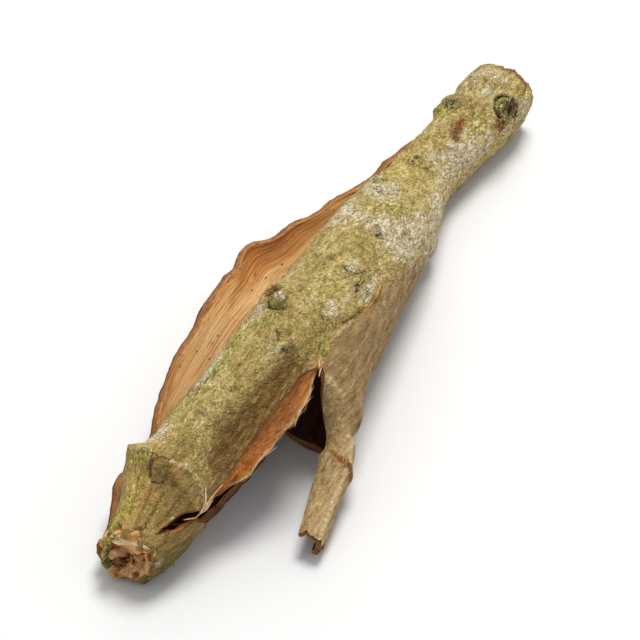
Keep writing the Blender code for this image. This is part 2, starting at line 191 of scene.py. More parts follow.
# How finely the sheet is cut: stretches along x, then columns round the quill
STRETCHES = [(MOUTH_X, SLOT_END_X, 6), (SLOT_END_X, SPLIT_X, 93), (SPLIT_X, SLIT_X[0], 32),
             (SLIT_X[0], SLIT_X[1], 20), (SLIT_X[1], LENGTH, 138)]
COVERED_COLUMNS = 10
UPPER_COLUMNS = 55
WALL_COLUMNS = 42
LOWER_COLUMNS = 50
STRIP_ROWS = 58
STEP = 0.05             # for slopes
STRIP_STEP = STEP / 10.0
SHARP_ANGLE = 62.0
FLANGE_RADIUS = 9.0     # for distances from the rim
COVERED_TURN = 24.0     # up to here the flange hides the outside
CLEAR_OF_TEAR = (6.0, 4.0)  # degrees that small pieces keep from its upper and lower edge
CLEAR_OF_SLIT = (1.0, 8.0)  # along x, and in degrees
CLEAR_OF_RIM = 3.0
LEAVES = 6              # in a tuft of moss
FIBRE_FLATNESS = 0.55
EDGE_REACH = 0.8        # along x to each side, for the direction of a torn edge

# The torn edge, from the outer face to the inner: depth as a share, and how far it stands out
EDGE_STEPS = [(0.07, -0.06), (0.15, -0.10), (0.25, 0.10), (0.38, 0.20), (0.5, 0.25), (0.62, 0.24),
              (0.74, 0.19), (0.86, 0.10)]
EDGE_ROUGHNESS = 0.11
END_ROUGHNESS = 0.5
EDGE_FIBRES = [(2.6, 0.4, 1.0, 9.0), (1.1, 0.25, 0.7, 4.0)]  # length, width, weight and seed
EDGE_LUMPS = (2.0, 0.9, 2.0)  # length, width and seed
END_FIBRES_AND_LUMPS = (1.2, 0.6)  # their shares of the roughness at the two ends
EDGE_HOLLOW = (0.42, 0.9, 0.5)  # how hollow an edge looks, less the shares of lumps and fibres
END_LENGTHS = (8.0, 4.0)  # how far the mouth's and the tube's rough ends reach
MOUTH_ROLL = 0.9        # how far the bark rolls over the mouth's edge
ROLL_END = 0.85         # the depth where the roll ends
ROLL_REACH = (0.6, 0.5)  # how far behind the mouth it starts, and over what length
ROLL_DEPTH = [(-40, 0.42), (20, 0.5), (70, 0.36), (130, 0.3), (165, 0.24), (200, 0.32), (235, 0.46),
              (280, 0.34), (345, 0.42)]  # and to what depth at each turn
ROLL_WANDER = (0.07, 24.0)  # how unevenly, and over how many degrees
INNER_HOLLOW = 0.8      # how hollow the inner face counts as

# Fine relief of the two faces: grain size along and across, height
CRUST_GRAINS = [(1.7, 0.16), (0.75, 0.12)]
BARE_LUMPS = 0.25       # the share of the crust's lumps that shows on bare bark
BARE_GRAIN = (7.0, 0.9, 0.07)
BAST_GRAIN = (11.0, 0.75, 0.11)


def clamp(value):
    return np.clip(value, 0.0, 1.0)


def smooth(value):
    value = clamp(value)
    return value * value * (3.0 - 2.0 * value)


def mix(a, b, share):
    return a + (b - a) * share


def along(table, x):
    """The smooth curve through a table's points, at x."""
    places, values = np.array(table, float).T
    x = np.clip(x, places[0], places[-1])
    k = np.clip(np.searchsorted(places, x), 1, len(places) - 1)
    before, after = np.maximum(k - 2, 0), np.minimum(k + 1, len(places) - 1)
    x0, x1, v0, v1 = places[k - 1], places[k], values[k - 1], values[k]
    span = x1 - x0
    slope0 = (v1 - values[before]) / (x1 - places[before]) * span
    slope1 = (values[after] - v0) / (places[after] - x0) * span
    s = (x - x0) / span
    return (v0 * (1 + 2 * s) * (1 - s) ** 2 + slope0 * s * (1 - s) ** 2
            + v1 * s * s * (3 - 2 * s) - slope1 * s * s * (1 - s))


def tooth(place, pitch, seed):
    """A torn edge's height, -1 to 1: straight runs between random corners."""
    cell = np.floor(place / pitch)
    first = int(cell.min())
    corners = np.array([noise.cell(Vector((number + 0.5, seed, 0.5)))
                        for number in range(first, int(cell.max()) + 2)])
    k = (cell - first).astype(int)
    return 2.0 * mix(corners[k], corners[k + 1], place / pitch - cell) - 1.0


def torn(place, pitch, seed):
    coarse, fine = TOOTH_SHARES
    return coarse * tooth(place, pitch, seed) + fine * tooth(place, pitch * FINE_PITCH, seed + 7)


def grain(points, size, seed=0.0):
    """Smooth noise, -1 to 1, at points. Size is one wavelength, or one for each direction."""
    places = (points / np.asarray(size, float) + seed).reshape(-1, 3).tolist()
    return np.array([noise.noise(place) for place in places]).reshape(points.shape[:-1])


def bell(distance):
    """1 at no distance, falling to nearly nothing at 2."""
    return np.exp(-distance ** 2)


def before(value, fade):
    """1 well before an end and 0 past it; a fade is the end and a length."""
    end, length = fade
    return smooth((end - value) / length)


def grid(down, across):
    """Two tables of values: one changes from row to row, the other from column to column."""
    return np.meshgrid(down, across, indexing="ij")


def grid_corners(rows, columns):
    """The indices of a grid's points at the four corners of each of its quads."""
    index = np.arange(rows * columns).reshape(rows, columns)
    return index[:-1, :-1], index[:-1, 1:], index[1:, 1:], index[1:, :-1]


def degrees_of(length, radius):
    return np.degrees(length / radius)


def across_from(turn, middle_x, middle_turn):
    """Distance round the quill from a place on it, in mm."""
    return np.radians(turn - middle_turn) * along(RADIUS, middle_x)


def no_lower(points, height):
    """The points, with those below a height lifted to it."""
    points[..., 2] = np.maximum(points[..., 2], height)
    return points


def unit(vectors):
    return vectors / np.maximum(np.linalg.norm(vectors, axis=-1, keepdims=True), 1e-9)


def brim_share(x, turn):
    """0 where the brim starts, 1 at the torn lip and more past it."""
    inward = np.radians(along(UPPER_LIP_TURN, x) - turn) * along(RADIUS, x)
    return 1.0 - inward / BRIM_WIDTH


def past_lip(x, turn):
    return turn > along(UPPER_LIP_TURN, x) + PAST_LIP


def brim(x, turn):
    """The hollow and the lifted lip along the torn edge of the upper wall."""
    lift = along(BRIM_LIFT, x)
    share = np.clip(brim_share(x, turn), 0.0, BRIM_LIMIT)
    shape = lift * (BRIM_RISE * share ** 3 - BRIM_DIP * np.sin(np.pi * share ** BRIM_SKEW))
    return np.where((lift <= 0.0) | past_lip(x, turn), 0.0, shape)


def wall_bulge(x, turn):
    """How far the wall leans out above and behind the torn strip's root."""
    first, last = along(UPPER_LIP_TURN, x), along(LOWER_LIP_TURN, x)
    share = clamp((turn - first) / (last - first))
    return along(WALL_BULGE, x) * np.sin(np.pi * share) ** 2


def sheet_radius(x, turn):
    radius = along(RADIUS, x) + LAYER_STEP * (turn - CROWN_TURN) / 360.0
    rim = along(RIM_TURN, x)
    opened = clamp((turn - FLANGE_TURN) / (rim - FLANGE_TURN))
    flange = along(FLANGE_REACH, x) * opened ** FLANGE_CURL
    return radius + flange + brim(x, turn) + wall_bulge(x, turn)


def surface(x, turn):
    """Points of the sheet's outer face, before its relief."""
    radius = sheet_radius(x, turn)
    angle = np.radians(turn)
    height = along(RADIUS, x) + along(AXIS_LIFT, x)
    y = along(AXIS_Y, x) + radius * np.cos(angle)
    return np.stack([x, y, height + radius * np.sin(angle)], axis=-1)


def surface_normal(x, turn):
    across = surface(x, turn + STEP) - surface(x, turn - STEP)
    lengthwise = surface(x + STEP, turn) - surface(x - STEP, turn)
    return unit(np.cross(across, lengthwise))


def knot_distance(x, turn, knot):
    """Distance from a knot's middle as a share of its radius."""
    knot_x, knot_turn, size = knot[:3]
    across = across_from(turn, knot_x, knot_turn)
    return np.hypot((x - knot_x) * KNOT_STRETCH, across) / size


def knot_relief(x, turn):
    height = np.zeros(np.shape(x))
    for knot in KNOTS:
        rise, depth = knot[3:]
        distance = knot_distance(x, turn, knot)
        collar = rise * bell((distance - KNOT_RING_RADIUS) / KNOT_RING_WIDTH)
        pit = depth * bell(distance / KNOT_PIT_WIDTH)
        height += np.where(distance < KNOT_END, collar - pit, 0.0)
    return height


def shoulder_relief(x, turn):
    first, last = SHOULDER_TURNS
    first_fade, last_fade = SHOULDER_FADES
    ends = smooth((turn - first) / first_fade) * smooth((last - turn) / last_fade)
    return SHOULDER_HEIGHT * ends * bell((x - along(SHOULDER_X, turn)) / SHOULDER_WIDTH)


def relief(x, turn):
    """How far the outside stands off the smooth sheet."""
    arc = np.radians(turn) * along(RADIUS, x)
    places = np.stack([x / WAVE_LENGTH, arc / WAVE_ARC, np.full(np.shape(x), WAVE_SEED)], axis=-1)
    first, last = WAVE_FADE_TURNS
    fade = smooth((turn - first) / (last - first))
    return fade * (WAVE_HEIGHT * grain(places, 1.0) + knot_relief(x, turn) + shoulder_relief(x, turn))


def torn_x(x, turn):
    """Row x moved so that both ends are torn, not sawn."""
    near = smooth(1.0 - (x - MOUTH_X) / MOUTH_REACH)
    far = smooth(1.0 - (LENGTH - x) / TUBE_REACH)
    x = x - near * MOUTH_TOOTH * (torn(turn, END_TOOTH_PITCH, 3) - END_RECESS)
    return x + far * TUBE_TOOTH * (torn(turn, END_TOOTH_PITCH, 11) - END_RECESS)


def line_distance(x, turn, line):
    """Distance in mm from a line drawn on the sheet through a few places."""
    scale = np.radians(1.0) * along(RADIUS, line[0][0])
    ends = np.array(line, float) * (1.0, scale)
    best = np.full(np.shape(x), 1e9)
    for (x0, t0), (x1, t1) in zip(ends[:-1], ends[1:]):
        dx, dt = x1 - x0, t1 - t0
        share = clamp(((x - x0) * dx + (turn * scale - t0) * dt) / (dx * dx + dt * dt))
        best = np.minimum(best, np.hypot(x - x0 - share * dx, turn * scale - t0 - share * dt))
    return best


def line_share(x, turn, lines, wider=1.0):
    """How strongly a place is covered by lines, 0 to 1, and how far they raise or cut it."""
    cover, height = np.zeros(np.shape(x)), np.zeros(np.shape(x))
    for width, rise, line in lines:
        distance = line_distance(x, turn, line)
        height += rise * bell(distance / width)
        cover = np.maximum(cover, bell(distance / (width * wider)))
    return cover, height


def bump_relief(x, turn):
    height = np.zeros(np.shape(x))
    for bump_x, bump_turn, length, width, rise in BUMPS:
        across = across_from(turn, bump_x, bump_turn)
        height += rise * np.exp(-((x - bump_x) / length) ** 2 - (across / width) ** 2)
    return height


def knot_wrinkles(x, turn):
    """Rings round the big knot near the tube end."""
    height, pace, end, fade = KNOT_RINGS
    distance = knot_distance(x, turn, KNOTS[0])
    return height * smooth((end - distance) / fade) * np.cos(distance * pace)


def detail_relief(x, turn):
    """Creases, cracks and small swellings that are finer than the solid's own relief."""
    lines = sum(line_share(x, turn, table)[1] for table in (CREASES, GROOVES, PALE_LINES))
    return lines + bump_relief(x, turn) + knot_wrinkles(x, turn)


def crust_relief(points, bare):
    """The fine lumps of moss and lichen crust, fading to fine lengthwise lines on bare bark."""
    lumps = sum(height * grain(points, size, size) for size, height in CRUST_GRAINS)
    length, width, height = BARE_GRAIN
    lines = height * grain(points, (length, width, width))
    return lumps * mix(1.0, BARE_LUMPS, bare) + lines


def outer_points(x, turn):
    place = torn_x(x, turn)
    flat = surface(place, turn)
    height = relief(place, turn) + detail_relief(x, turn) + crust_relief(flat, bare_share(x, turn))
    return no_lower(flat + surface_normal(place, turn) * height[..., None], 0.0)


def thickness(x, turn):
    """The bark is thick with torn bast at the mouth, but not where it lies over itself."""
    bast = smooth(1.0 - (x - MOUTH_X) / BAST_REACH) * smooth((BAST_END_TURN - turn) / BAST_FADE_TURN)
    length, width = LOBE_SIZE
    places = np.stack([x / length, turn / width, np.full(np.shape(x), 0.7)], axis=-1)
    lobes = clamp(0.5 + 1.1 * grain(places, 1.0))
    depth = THICKNESS + (MOUTH_BAST + LOBE_DEPTH * lobes) * bast
    return np.minimum(depth, BAST_LIMIT * sheet_radius(x, turn))


def fibre_relief(points):
    """The lengthwise fibres of the inner face."""
    length, width, height = BAST_GRAIN
    coarse = grain(points, (length, 2.6 * width, 2.6 * width), 5.0)
    return height * (grain(points, (length, width, width), 3.0) + 0.8 * coarse)


def inner_points(x, turn):
    place = torn_x(x, turn)
    flat = surface(place, turn)
    depth = thickness(x, turn) + fibre_relief(flat)
    return no_lower(flat - surface_normal(place, turn) * depth[..., None], FLOOR_THICKNESS)


def inner_edge_turn(x):
    notch = INNER_EDGE_TOOTH * torn(x, INNER_EDGE_PITCH, 2)
    return along(INNER_EDGE_TURN, x) + degrees_of(notch, along(RADIUS, x))


def rim_turn(x):
    notch = RIM_TOOTH * torn(x, RIM_TOOTH_PITCH, 5)
    return along(RIM_TURN, x) + degrees_of(notch, along(RADIUS, x) + RIM_STANDS_OUT)


def lip_notch(x, depth, seed):
    """The unevenness of the long torn edges, in degrees: none at the strip's root or the cone."""
    start_fade, end_fade = LIP_FADES
    fade = smooth((x - CONE_END_X) / start_fade) * smooth((SPLIT_X - x) / end_fade)
    return degrees_of(fade * depth * torn(x, LIP_PITCH, seed), along(RADIUS, x))


def upper_lip_turn(x):
    return along(UPPER_LIP_TURN, x) + lip_notch(x, UPPER_LIP_TOOTH, 9)


def lower_lip_turn(x):
    return along(LOWER_LIP_TURN, x) + lip_notch(x, LOWER_LIP_TOOTH, 13)


def slit_half_turn(x):
    first, last = SLIT_X
    share = clamp((x - first) / (last - first))
    return degrees_of(0.5 * SLIT_WIDTH * np.sin(np.pi * share), along(RADIUS, x))


def lip_bevel_turn(x):
    bevel = np.where(x < SPLIT_X, along(LIP_BEVEL, x), 0.0)
    return degrees_of(bevel, along(RADIUS, x))


def upper_edge(x):
    """Where the upper wall ends outside: the torn edge is bevelled, and the slit is open."""
    return upper_lip_turn(x) - lip_bevel_turn(x) - slit_half_turn(x)


def upper_edge_inside(x):
    return upper_lip_turn(x) - slit_half_turn(x)


def wall_edge(x):
    return upper_lip_turn(x) + slit_half_turn(x)


def strip_shape(share, side):
    """The strip's outer face: share runs to its tip, side from -1, its upper edge, to 1."""
    bend = along(STRIP_BEND, share)
    turn = np.radians(along(STRIP_TURN, share))
    half = along(STRIP_HALF_WIDTH, share)
    none = np.zeros(np.shape(share))
    out = np.stack([none, np.cos(turn), np.sin(turn)], axis=-1)
    sideways = np.stack([none, -np.sin(turn), np.cos(turn)], axis=-1)
    middle = np.stack([mix(SPLIT_X, STRIP_END_X, share), along(STRIP_Y, share),
                       along(STRIP_Z, share)], axis=-1)
    arc = side * half / bend
    return (middle + sideways * (bend * np.sin(arc))[..., None]
            - out * (bend * (1.0 - np.cos(arc)))[..., None])


def split_turns():
    """The upper and lower lip's turn where the strip starts."""
    split = np.array([SPLIT_X])
    return float(upper_lip_turn(split)[0]), float(lower_lip_turn(split)[0])


def strip_side(turn):
    """Where a turn lies across the strip's root, from -1 to 1."""
    first, last = split_turns()
    return 2.0 * (turn - first) / (last - first) - 1.0


def strip_surface(share, side):
    """The strip where it has left the wall, and a blend of both where it starts."""
    first, last = split_turns()
    lost = STRIP_GAP * np.minimum(1.0, share / STRIP_GAP_OPENS)
    wall = surface(mix(SPLIT_X, STRIP_END_X, share), mix(first + lost, last - lost, 0.5 + 0.5 * side))
    return mix(wall, strip_shape(share, side), smooth(share / STRIP_LEAVES)[..., None])


def strip_normal(share, side):
    across = strip_surface(share, side + STRIP_STEP) - strip_surface(share, side - STRIP_STEP)
    lengthwise = strip_surface(share - STRIP_STEP, side) - strip_surface(share + STRIP_STEP, side)
    return unit(np.cross(across, lengthwise))


def strip_relief(share, side):
    place, half, height = STRIP_NODE
    node = height * bell((share - place) * (SPLIT_X - STRIP_END_X) / half)
    middle, width, ridge_height = STRIP_RIDGE
    ridge = ridge_height * bell((side - middle) / width)
    return node + ridge * smooth(share / STRIP_LEAVES)


def strip_torn_share(share, side):
    return share + STRIP_TOOTH * share ** 4 * torn(side, STRIP_TOOTH_PITCH, 17)


def strip_outer_points(share, side):
    share = strip_torn_share(share, side)
    across = side * STRIP_FACE
    flat = strip_surface(share, across)
    height = strip_relief(share, side) + crust_relief(flat, np.ones(np.shape(share)))
    return no_lower(flat + strip_normal(share, across) * height[..., None], 0.0)


def strip_inner_points(share, side):
    share = strip_torn_share(share, side)
    flat = strip_surface(share, side)
    depth = mix(THICKNESS, STRIP_TIP_THICKNESS, share) + fibre_relief(flat)
    return no_lower(flat - strip_normal(share, side) * depth[..., None], STRIP_FLOOR_THICKNESS)


# What covers the bark, and the patches of painted shade and painted light. Each patch is x, turn, half
# length, half width and strength
# Mostly pale lichen; the small pale spots on the knots near x 50.6 and 63 are painted highlights on
# their raised tops
PALE_PATCHES = [
    (108.5, 164, 10.0, 3.0, 0.6), (118.0, 108, 4.0, 2.4, 0.4), (104.5, 139, 4.0, 2.4, 0.7),
    (101.0, 112, 2.4, 1.6, 0.5), (91.0, 156, 8.0, 2.2, 0.6), (85.0, 95, 2.2, 1.8, 1.0),
    (84.0, 82, 1.6, 2.4, 0.9), (88.0, 66, 3.5, 1.6, 0.6), (78.0, 42, 3.6, 4.0, 1.0),
    (76.5, 60, 2.0, 2.6, 0.7), (76.0, 121, 3.2, 4.4, 1.1), (79.5, 143, 4.0, 2.4, 0.9),
    (63.2, 130, 2.2, 0.7, 1.2), (63.6, 106, 2.2, 0.8, 1.0), (60.0, 132, 1.2, 0.8, 1.0),
    (53.0, 113, 2.2, 1.6, 0.75), (48.0, 54, 2.0, 1.2, 0.7), (50.6, 72, 0.8, 0.8, 0.9),
    (42.9, 106, 0.7, 0.7, 0.4), (36.3, 50, 2.2, 1.0, 1.0), (33.5, 51, 1.4, 0.8, 0.9),
    (19.0, 54, 2.6, 2.0, 1.1), (31.5, 46, 2.0, 0.9, 0.6),
    (6.8, 138, 2.2, 0.8, 0.8), (120.0, 60, 4.0, 2.6, 0.4), (123.5, 85, 2.0, 4.0, 0.4),
    (121.5, 172, 4.0, 2.2, 0.55), (88.0, 200, 9.0, 5.0, 0.6), (60.0, 250, 9.0, 5.0, 0.5),
    (30.0, 300, 8.0, 4.0, 0.5), (112.0, 270, 7.0, 4.0, 0.6), (2.2, 176, 0.9, 0.9, 0.45),
]
MOSS_PATCHES = [
    (38.0, 56, 5.0, 1.4, 0.9), (46.0, 72, 4.0, 2.6, 0.45), (14.6, 60, 1.0, 2.6, 1.0),
    (30.0, 56, 6.0, 1.4, 0.6), (112.5, 62, 2.0, 2.0, 0.7), (112.0, 138, 1.5, 3.0, 0.7),
    (88.5, 72, 2.2, 2.6, 0.7), (98.0, 80, 6.0, 4.0, 0.4), (68.0, 100, 9.0, 4.0, 0.35),
    (55.0, 95, 8.0, 4.0, 0.3), (46.0, 130, 2.4, 1.4, 0.6), (82.0, 108, 4.0, 3.0, 0.5),
    (4.0, 30, 3.5, 2.8, 1.1), (4.5, 220, 4.5, 4.0, 0.5), (100.0, 240, 9.0, 6.0, 0.5),
    (50.0, 290, 12.0, 6.0, 0.5), (118.0, 134, 1.6, 1.6, 0.8), (10.0, 66, 3.0, 1.6, 0.5),
    (7.0, 105, 3.0, 1.6, 0.4),
]
# Dark knots and scars; in the big knot's pit at x 119.2 the dark is partly painted shade
DARK_PATCHES = [
    (118.3, 148, 2.0, 2.0, 0.62), (119.2, 156, 1.25, 1.2, 2.2), (114.3, 58, 1.8, 1.5, 0.8),
    (107.3, 121, 0.9, 1.0, 0.7), (86.5, 70, 1.5, 1.0, 0.6), (73.6, 110, 1.4, 0.8, 0.7),
    (78.0, 134, 1.0, 0.8, 0.7), (60.6, 106, 1.8, 0.8, 0.55), (3.5, 214, 3.5, 3.0, 0.7),
    (20.0, 258, 14.0, 4.0, 0.5), (112.5, 80, 1.6, 0.9, 0.6), (98.0, 92, 1.1, 1.0, 0.5),
]
RUST_PATCHES = [
    (108.0, 110, 1.6, 0.9, 0.9), (110.3, 104, 1.0, 0.6, 0.8), (94.0, 8, 5.0, 2.4, 0.8),
    (51.6, 59, 1.4, 0.9, 1.1), (60.8, 121, 1.2, 0.6, 0.45), (13.0, 112, 2.0, 1.0, 0.4),
    (126.2, 108, 0.9, 4.0, 0.5), (126.2, 140, 0.8, 3.0, 0.4), (42.6, 95, 1.2, 0.8, 0.4),
    (115.2, 152, 1.2, 1.6, 0.75), (117.9, 143, 1.2, 1.3, 0.35), (10.0, 85, 2.0, 1.0, 0.35),
]
BARE_EDGE_TURN = [(0, 150), (20, 150), (36, 150), (44, 137), (50, 133), (58, 139), (66, 146),
                  (74, 158), (84, 172), (96, 200), (110, 225), (126.5, 230)]
# Painted shade: patches where the outside's colour is darkened
SHADED_PATCHES = [
    (28.0, 122, 14.0, 4.5, 0.85), (10.0, 100, 6.0, 5.0, 0.7), (40.0, 118, 5.0, 3.0, 0.4),
    (48.0, 92, 2.5, 2.5, 0.35), (86.0, 72, 3.0, 2.2, 0.5), (6.0, 206, 9.0, 4.6, 2.2),
]
# Painted light: patches where the outside's colour is lightened
LIT_PATCHES = [
    (8.0, 62, 8.0, 3.6, 1.0), (113.0, 160, 12.0, 3.6, 1.0), (96.0, 66, 8.0, 3.0, 0.6),
    (100.0, 175, 10.0, 3.0, 0.7),
]
PATCH_FALL = 0.8        # how fast a patch ends at its edge
BARE_END_TURN = 335.0
BARE_FADES = (14.0, 20.0)  # degrees over which the bare side starts and ends
CONE_TO_BARK = (16.5, 3.0)  # where the crust starts behind the cone, and over what length
CONE_SHOULDER_X = 13.0  # the shoulder's place that this is given for
HALF_COVER = 0.6        # of the cone, that is bare
TROUGH_COVER = 1.4
RING_PLACES = 14        # of a line drawn round a scar

# Where the flange's looks start, where those of the mouth and the brim end, and over what length
FLANGE_FADE_TURNS = (300.0, 20.0)
MOUTH_FADE = (MOUTH_X + 4.5, 4.0)
MOUTH_FADE_TURNS = (335.0, 18.0)
BRIM_FADE = (SPLIT_X + 1.0, 3.0)
BRIM_FADE_TURNS = (200.0, 10.0)


def circle(x, turn, radius, start=0.0, end=360.0):
    """Places on a circle round a place of the sheet, or on a part of it."""
    turns_per_mm = 1.0 / math.radians(float(along(RADIUS, np.array(x))))
    angles = np.radians(np.linspace(start, end, RING_PLACES))
    return [(x + radius * math.cos(a), turn + radius * math.sin(a) * turns_per_mm) for a in angles]


# Lines on the outside: half width, height, and the places they run through as x and turn
# Creases are cut in and painted dark: partly their own dark colour, partly painted shade below and
# beside the knots
CREASES = [
    (0.30, -0.60, circle(117.9, 145, 2.35)),
    (0.22, -0.40, circle(117.6, 143, 1.3, 90, 330)),
    (0.28, -0.75, [(52.8, 68), (52.0, 59), (51.0, 56)]),
    (0.30, -0.70, [(49.6, 62), (48.2, 60)]),
    (0.42, -0.95, [(49.0, 62), (48.6, 69), (49.2, 78)]),
    (0.34, -0.80, [(43.9, 88), (42.9, 93), (41.6, 97)]),
    (0.30, -0.60, [(41.0, 104), (41.2, 109)]),
    (0.34, -0.60, [(62.3, 100), (61.4, 108), (61.6, 114)]),
    (0.28, -0.60, [(62.3, 117), (60.0, 120), (58.6, 126)]),
    (0.18, -0.40, [(14.0, 80), (12.8, 77), (11.7, 79)]),
    (0.18, -0.40, [(14.4, 78), (14.8, 85)]),
    (0.20, -0.45, [(14.7, 87), (14.5, 93), (14.7, 100)]),
    (0.30, -0.50, circle(12.7, 91, 1.5, 140, 285)),
    (0.26, -0.55, [(97.3, 86), (96.3, 95), (96.6, 104)]),
    (0.26, -0.60, [(84.6, 74), (83.9, 84), (84.3, 93)]),
    (0.24, -0.50, [(109.3, 95), (107.9, 112), (106.9, 119)]),
    (0.22, -0.50, [(120.8, 143), (120.3, 158), (118.6, 164)]),
    (0.18, -0.35, [(120.2, 66), (120.8, 84), (119.9, 92)]),
    (0.22, -0.40, [(113.0, 66), (111.8, 86)]),
    (0.24, -0.50, [(75.2, 104), (73.8, 111), (74.0, 118)]),
    (0.20, -0.40, [(78.6, 133), (77.6, 137), (78.4, 141)]),
]
GROOVES = [
    (0.30, -0.30, circle(12.7, 91, 1.6, -70, 130)),
    (0.24, -0.30, circle(98.0, 98, 1.9)),
    (0.42, -0.6, [(58.0, 137), (55.0, 134), (52.4, 129.5)]),
    (0.30, -0.30, [(24.0, 135), (30.0, 131), (37.0, 127.5)]),
    (0.26, -0.22, [(26.0, 124), (33.0, 121), (40.5, 120)]),
    (0.22, -0.22, [(11.0, 104), (8.0, 106), (4.0, 107)]),
    (0.22, -0.22, [(11.5, 62), (8.0, 66), (3.5, 70)]),
    (0.22, -0.20, [(11.5, 128), (5.0, 124)]),
    (0.22, -0.20, [(11.0, 88), (3.5, 90)]),
    (0.20, -0.20, [(122.6, 92), (123.2, 108), (122.6, 124)]),
    (0.20, -0.20, [(110.3, 106), (108.6, 110)]),
]
# Among these, the lines on the knots near x 63 and 85 are painted highlights on their raised sides
PALE_LINES = [
    (0.26, 0.30, circle(117.9, 145, 2.85, 150, 400)),
    (0.30, 0.45, [(14.6, 101), (15.0, 118), (14.9, 139), (14.2, 152), (13.6, 164)]),
    (0.26, 0.45, [(63.8, 99), (63.1, 108), (62.6, 116)]),
    (0.28, 0.60, [(63.1, 122), (63.2, 129), (61.6, 134)]),
    (0.22, 0.30, [(15.9, 42), (14.9, 60), (15.1, 74)]),
    (0.26, 0.35, [(86.8, 79), (85.4, 92), (84.9, 98)]),
]
# Small swellings and pits: x, turn, half length, half width and height
BUMPS = [
    (50.4, 71, 0.8, 1.0, 0.7), (51.6, 61, 0.9, 0.9, -0.6), (50.9, 77, 0.5, 0.5, 0.4),
    (42.7, 105, 1.1, 1.0, 1.1), (62.9, 112, 1.0, 1.4, 0.5), (60.9, 120, 0.9, 0.8, 0.5),
    (119.1, 155, 1.0, 1.0, -2.0), (15.6, 41, 0.8, 1.0, 0.5),
    (117.0, 138, 1.0, 1.0, 0.35), (98.4, 96, 1.0, 1.4, 0.4), (88.6, 78, 1.6, 1.6, 0.4),
    (110.4, 78, 1.5, 1.4, 0.4), (108.6, 122, 0.8, 0.8, -0.5), (12.7, 91, 1.0, 1.0, 0.45),
    (26.0, 80, 3.5, 2.2, 0.35), (34.0, 96, 4.0, 2.0, 0.3), (70.0, 84, 3.0, 2.0, 0.35),
    (82.0, 120, 3.0, 2.0, 0.35), (92.0, 124, 3.0, 2.0, 0.3), (101.5, 132, 3.0, 2.0, -0.35),
    (57.0, 84, 3.0, 2.2, -0.3), (33.0, 70, 4.0, 2.0, -0.25), (121.5, 100, 2.0, 1.6, 0.4),
]


def patches(x, turn, table):
    """How strongly a place is covered by the patches of a table, 0 to 1."""
    left = np.ones(np.shape(x))
    for patch_x, patch_turn, half_length, half_width, strength in table:
        across = across_from(turn, patch_x, patch_turn)
        square = ((x - patch_x) / half_length) ** 2 + (across / half_width) ** 2
        left *= 1.0 - min(strength, 1.0) * np.exp(-PATCH_FALL * square / max(strength, 1.0))
    return 1.0 - left


def bare_share(x, turn):
    """1 where the bark is bare and smooth, on the side of the strip, and 0 under the crust."""
    start_fade, end_fade = BARE_FADES
    wall = smooth((turn - along(BARE_EDGE_TURN, x)) / start_fade + 0.5)
    return np.maximum(wall * smooth((BARE_END_TURN - turn) / end_fade), HALF_COVER * cone_share(x, turn))


def cone_share(x, turn):
    start, fade = CONE_TO_BARK
    return smooth((start + along(SHOULDER_X, turn) - CONE_SHOULDER_X - x) / fade)


def trough_share(x, turn):
    """1 in the hollow above the torn edge of the upper wall."""
    share = clamp(brim_share(x, turn))
    deep = clamp(along(BRIM_LIFT, x)) * np.sin(np.pi * share ** BRIM_SKEW)
    return np.where(past_lip(x, turn), 0.0, clamp(TROUGH_COVER * deep))


class Sheet:
    """The closed sheet of bark: outer and inner points of the same grid, and torn edges."""

    def __init__(self):
        self.outer, self.inner, self.places, self.quads = [], [], [], []
        self.count = 0

    def patch(self, outer, inner, x, turn, on_strip=0.0):
        """A grid of points; x and turn say where each lies on the sheet."""
        rows, columns = outer.shape[:2]
        quads = np.stack(grid_corners(rows, columns), axis=-1).reshape(-1, 4)
        self.quads.append(quads + self.count)
        self.outer.append(outer.reshape(-1, 3))
        self.inner.append(inner.reshape(-1, 3))
        part = np.full(x.shape, on_strip)
        self.places.append(np.stack([x, turn, part], axis=-1).reshape(-1, 3))
        self.count += rows * columns

    def weld(self):
        """Joins the patches where their outer points meet."""
        outer, inner = np.concatenate(self.outer), np.concatenate(self.inner)
        keys = np.round(outer, 3) + 0.0
        _, first, index = np.unique(keys, axis=0, return_index=True, return_inverse=True)
        index = index.reshape(-1)
        self.outer, self.inner = outer[first], inner[first]
        self.places = np.concatenate(self.places)[first]
        self.quads = index[np.concatenate(self.quads)]

    def free_edges(self):
        """The edges of only one quad, in that quad's direction."""
        ring = np.concatenate([self.quads[:, [k, (k + 1) % 4]] for k in range(4)])
        ring = ring[ring[:, 0] != ring[:, 1]]
        low_high = np.sort(ring, axis=1)
        _, index, counts = np.unique(low_high, axis=0, return_inverse=True, return_counts=True)
        return ring[counts[index.reshape(-1)] == 1]


def add_band(sheet, stretch, shares, first_turn, last_turn, last_turn_inside=None):
    """A band of the sheet, over one stretch of x, between two edges given as turn at x."""
    start, end, rows = stretch
    x, shares = grid(np.linspace(start, end, rows + 1), shares)
    turn = shares_between(first_turn(x), last_turn(x), shares)
    inside = shares_between(first_turn(x), (last_turn_inside or last_turn)(x), shares)
    sheet.patch(outer_points(x, turn), inner_points(x, inside), x, turn)


def shares_between(first, last, shares):
    """Turns between two edges. Shares below 0 lie in the covered layer, before turn 0."""
    start = np.where(shares.min() < 0.0, 0.0, first)
    return np.where(shares < 0.0, -shares * first, mix(start, last, shares))


def add_strip(sheet):
    """The torn strip. Its first row is the wall's own edge."""
    first, last = split_turns()
    share, side = grid(np.linspace(1.0, 0.0, STRIP_ROWS + 1), np.linspace(-1.0, 1.0, WALL_COLUMNS + 1))
    turn = mix(first, last, 0.5 + 0.5 * side)
    x = mix(SPLIT_X, STRIP_END_X, share)
    outer, inner = strip_outer_points(share, side), strip_inner_points(share, side)
    wall_x = np.full(turn[-1:].shape, SPLIT_X)
    outer[-1:], inner[-1:] = outer_points(wall_x, turn[-1:]), inner_points(wall_x, turn[-1:])
    sheet.patch(outer, inner, x, turn, 1.0)


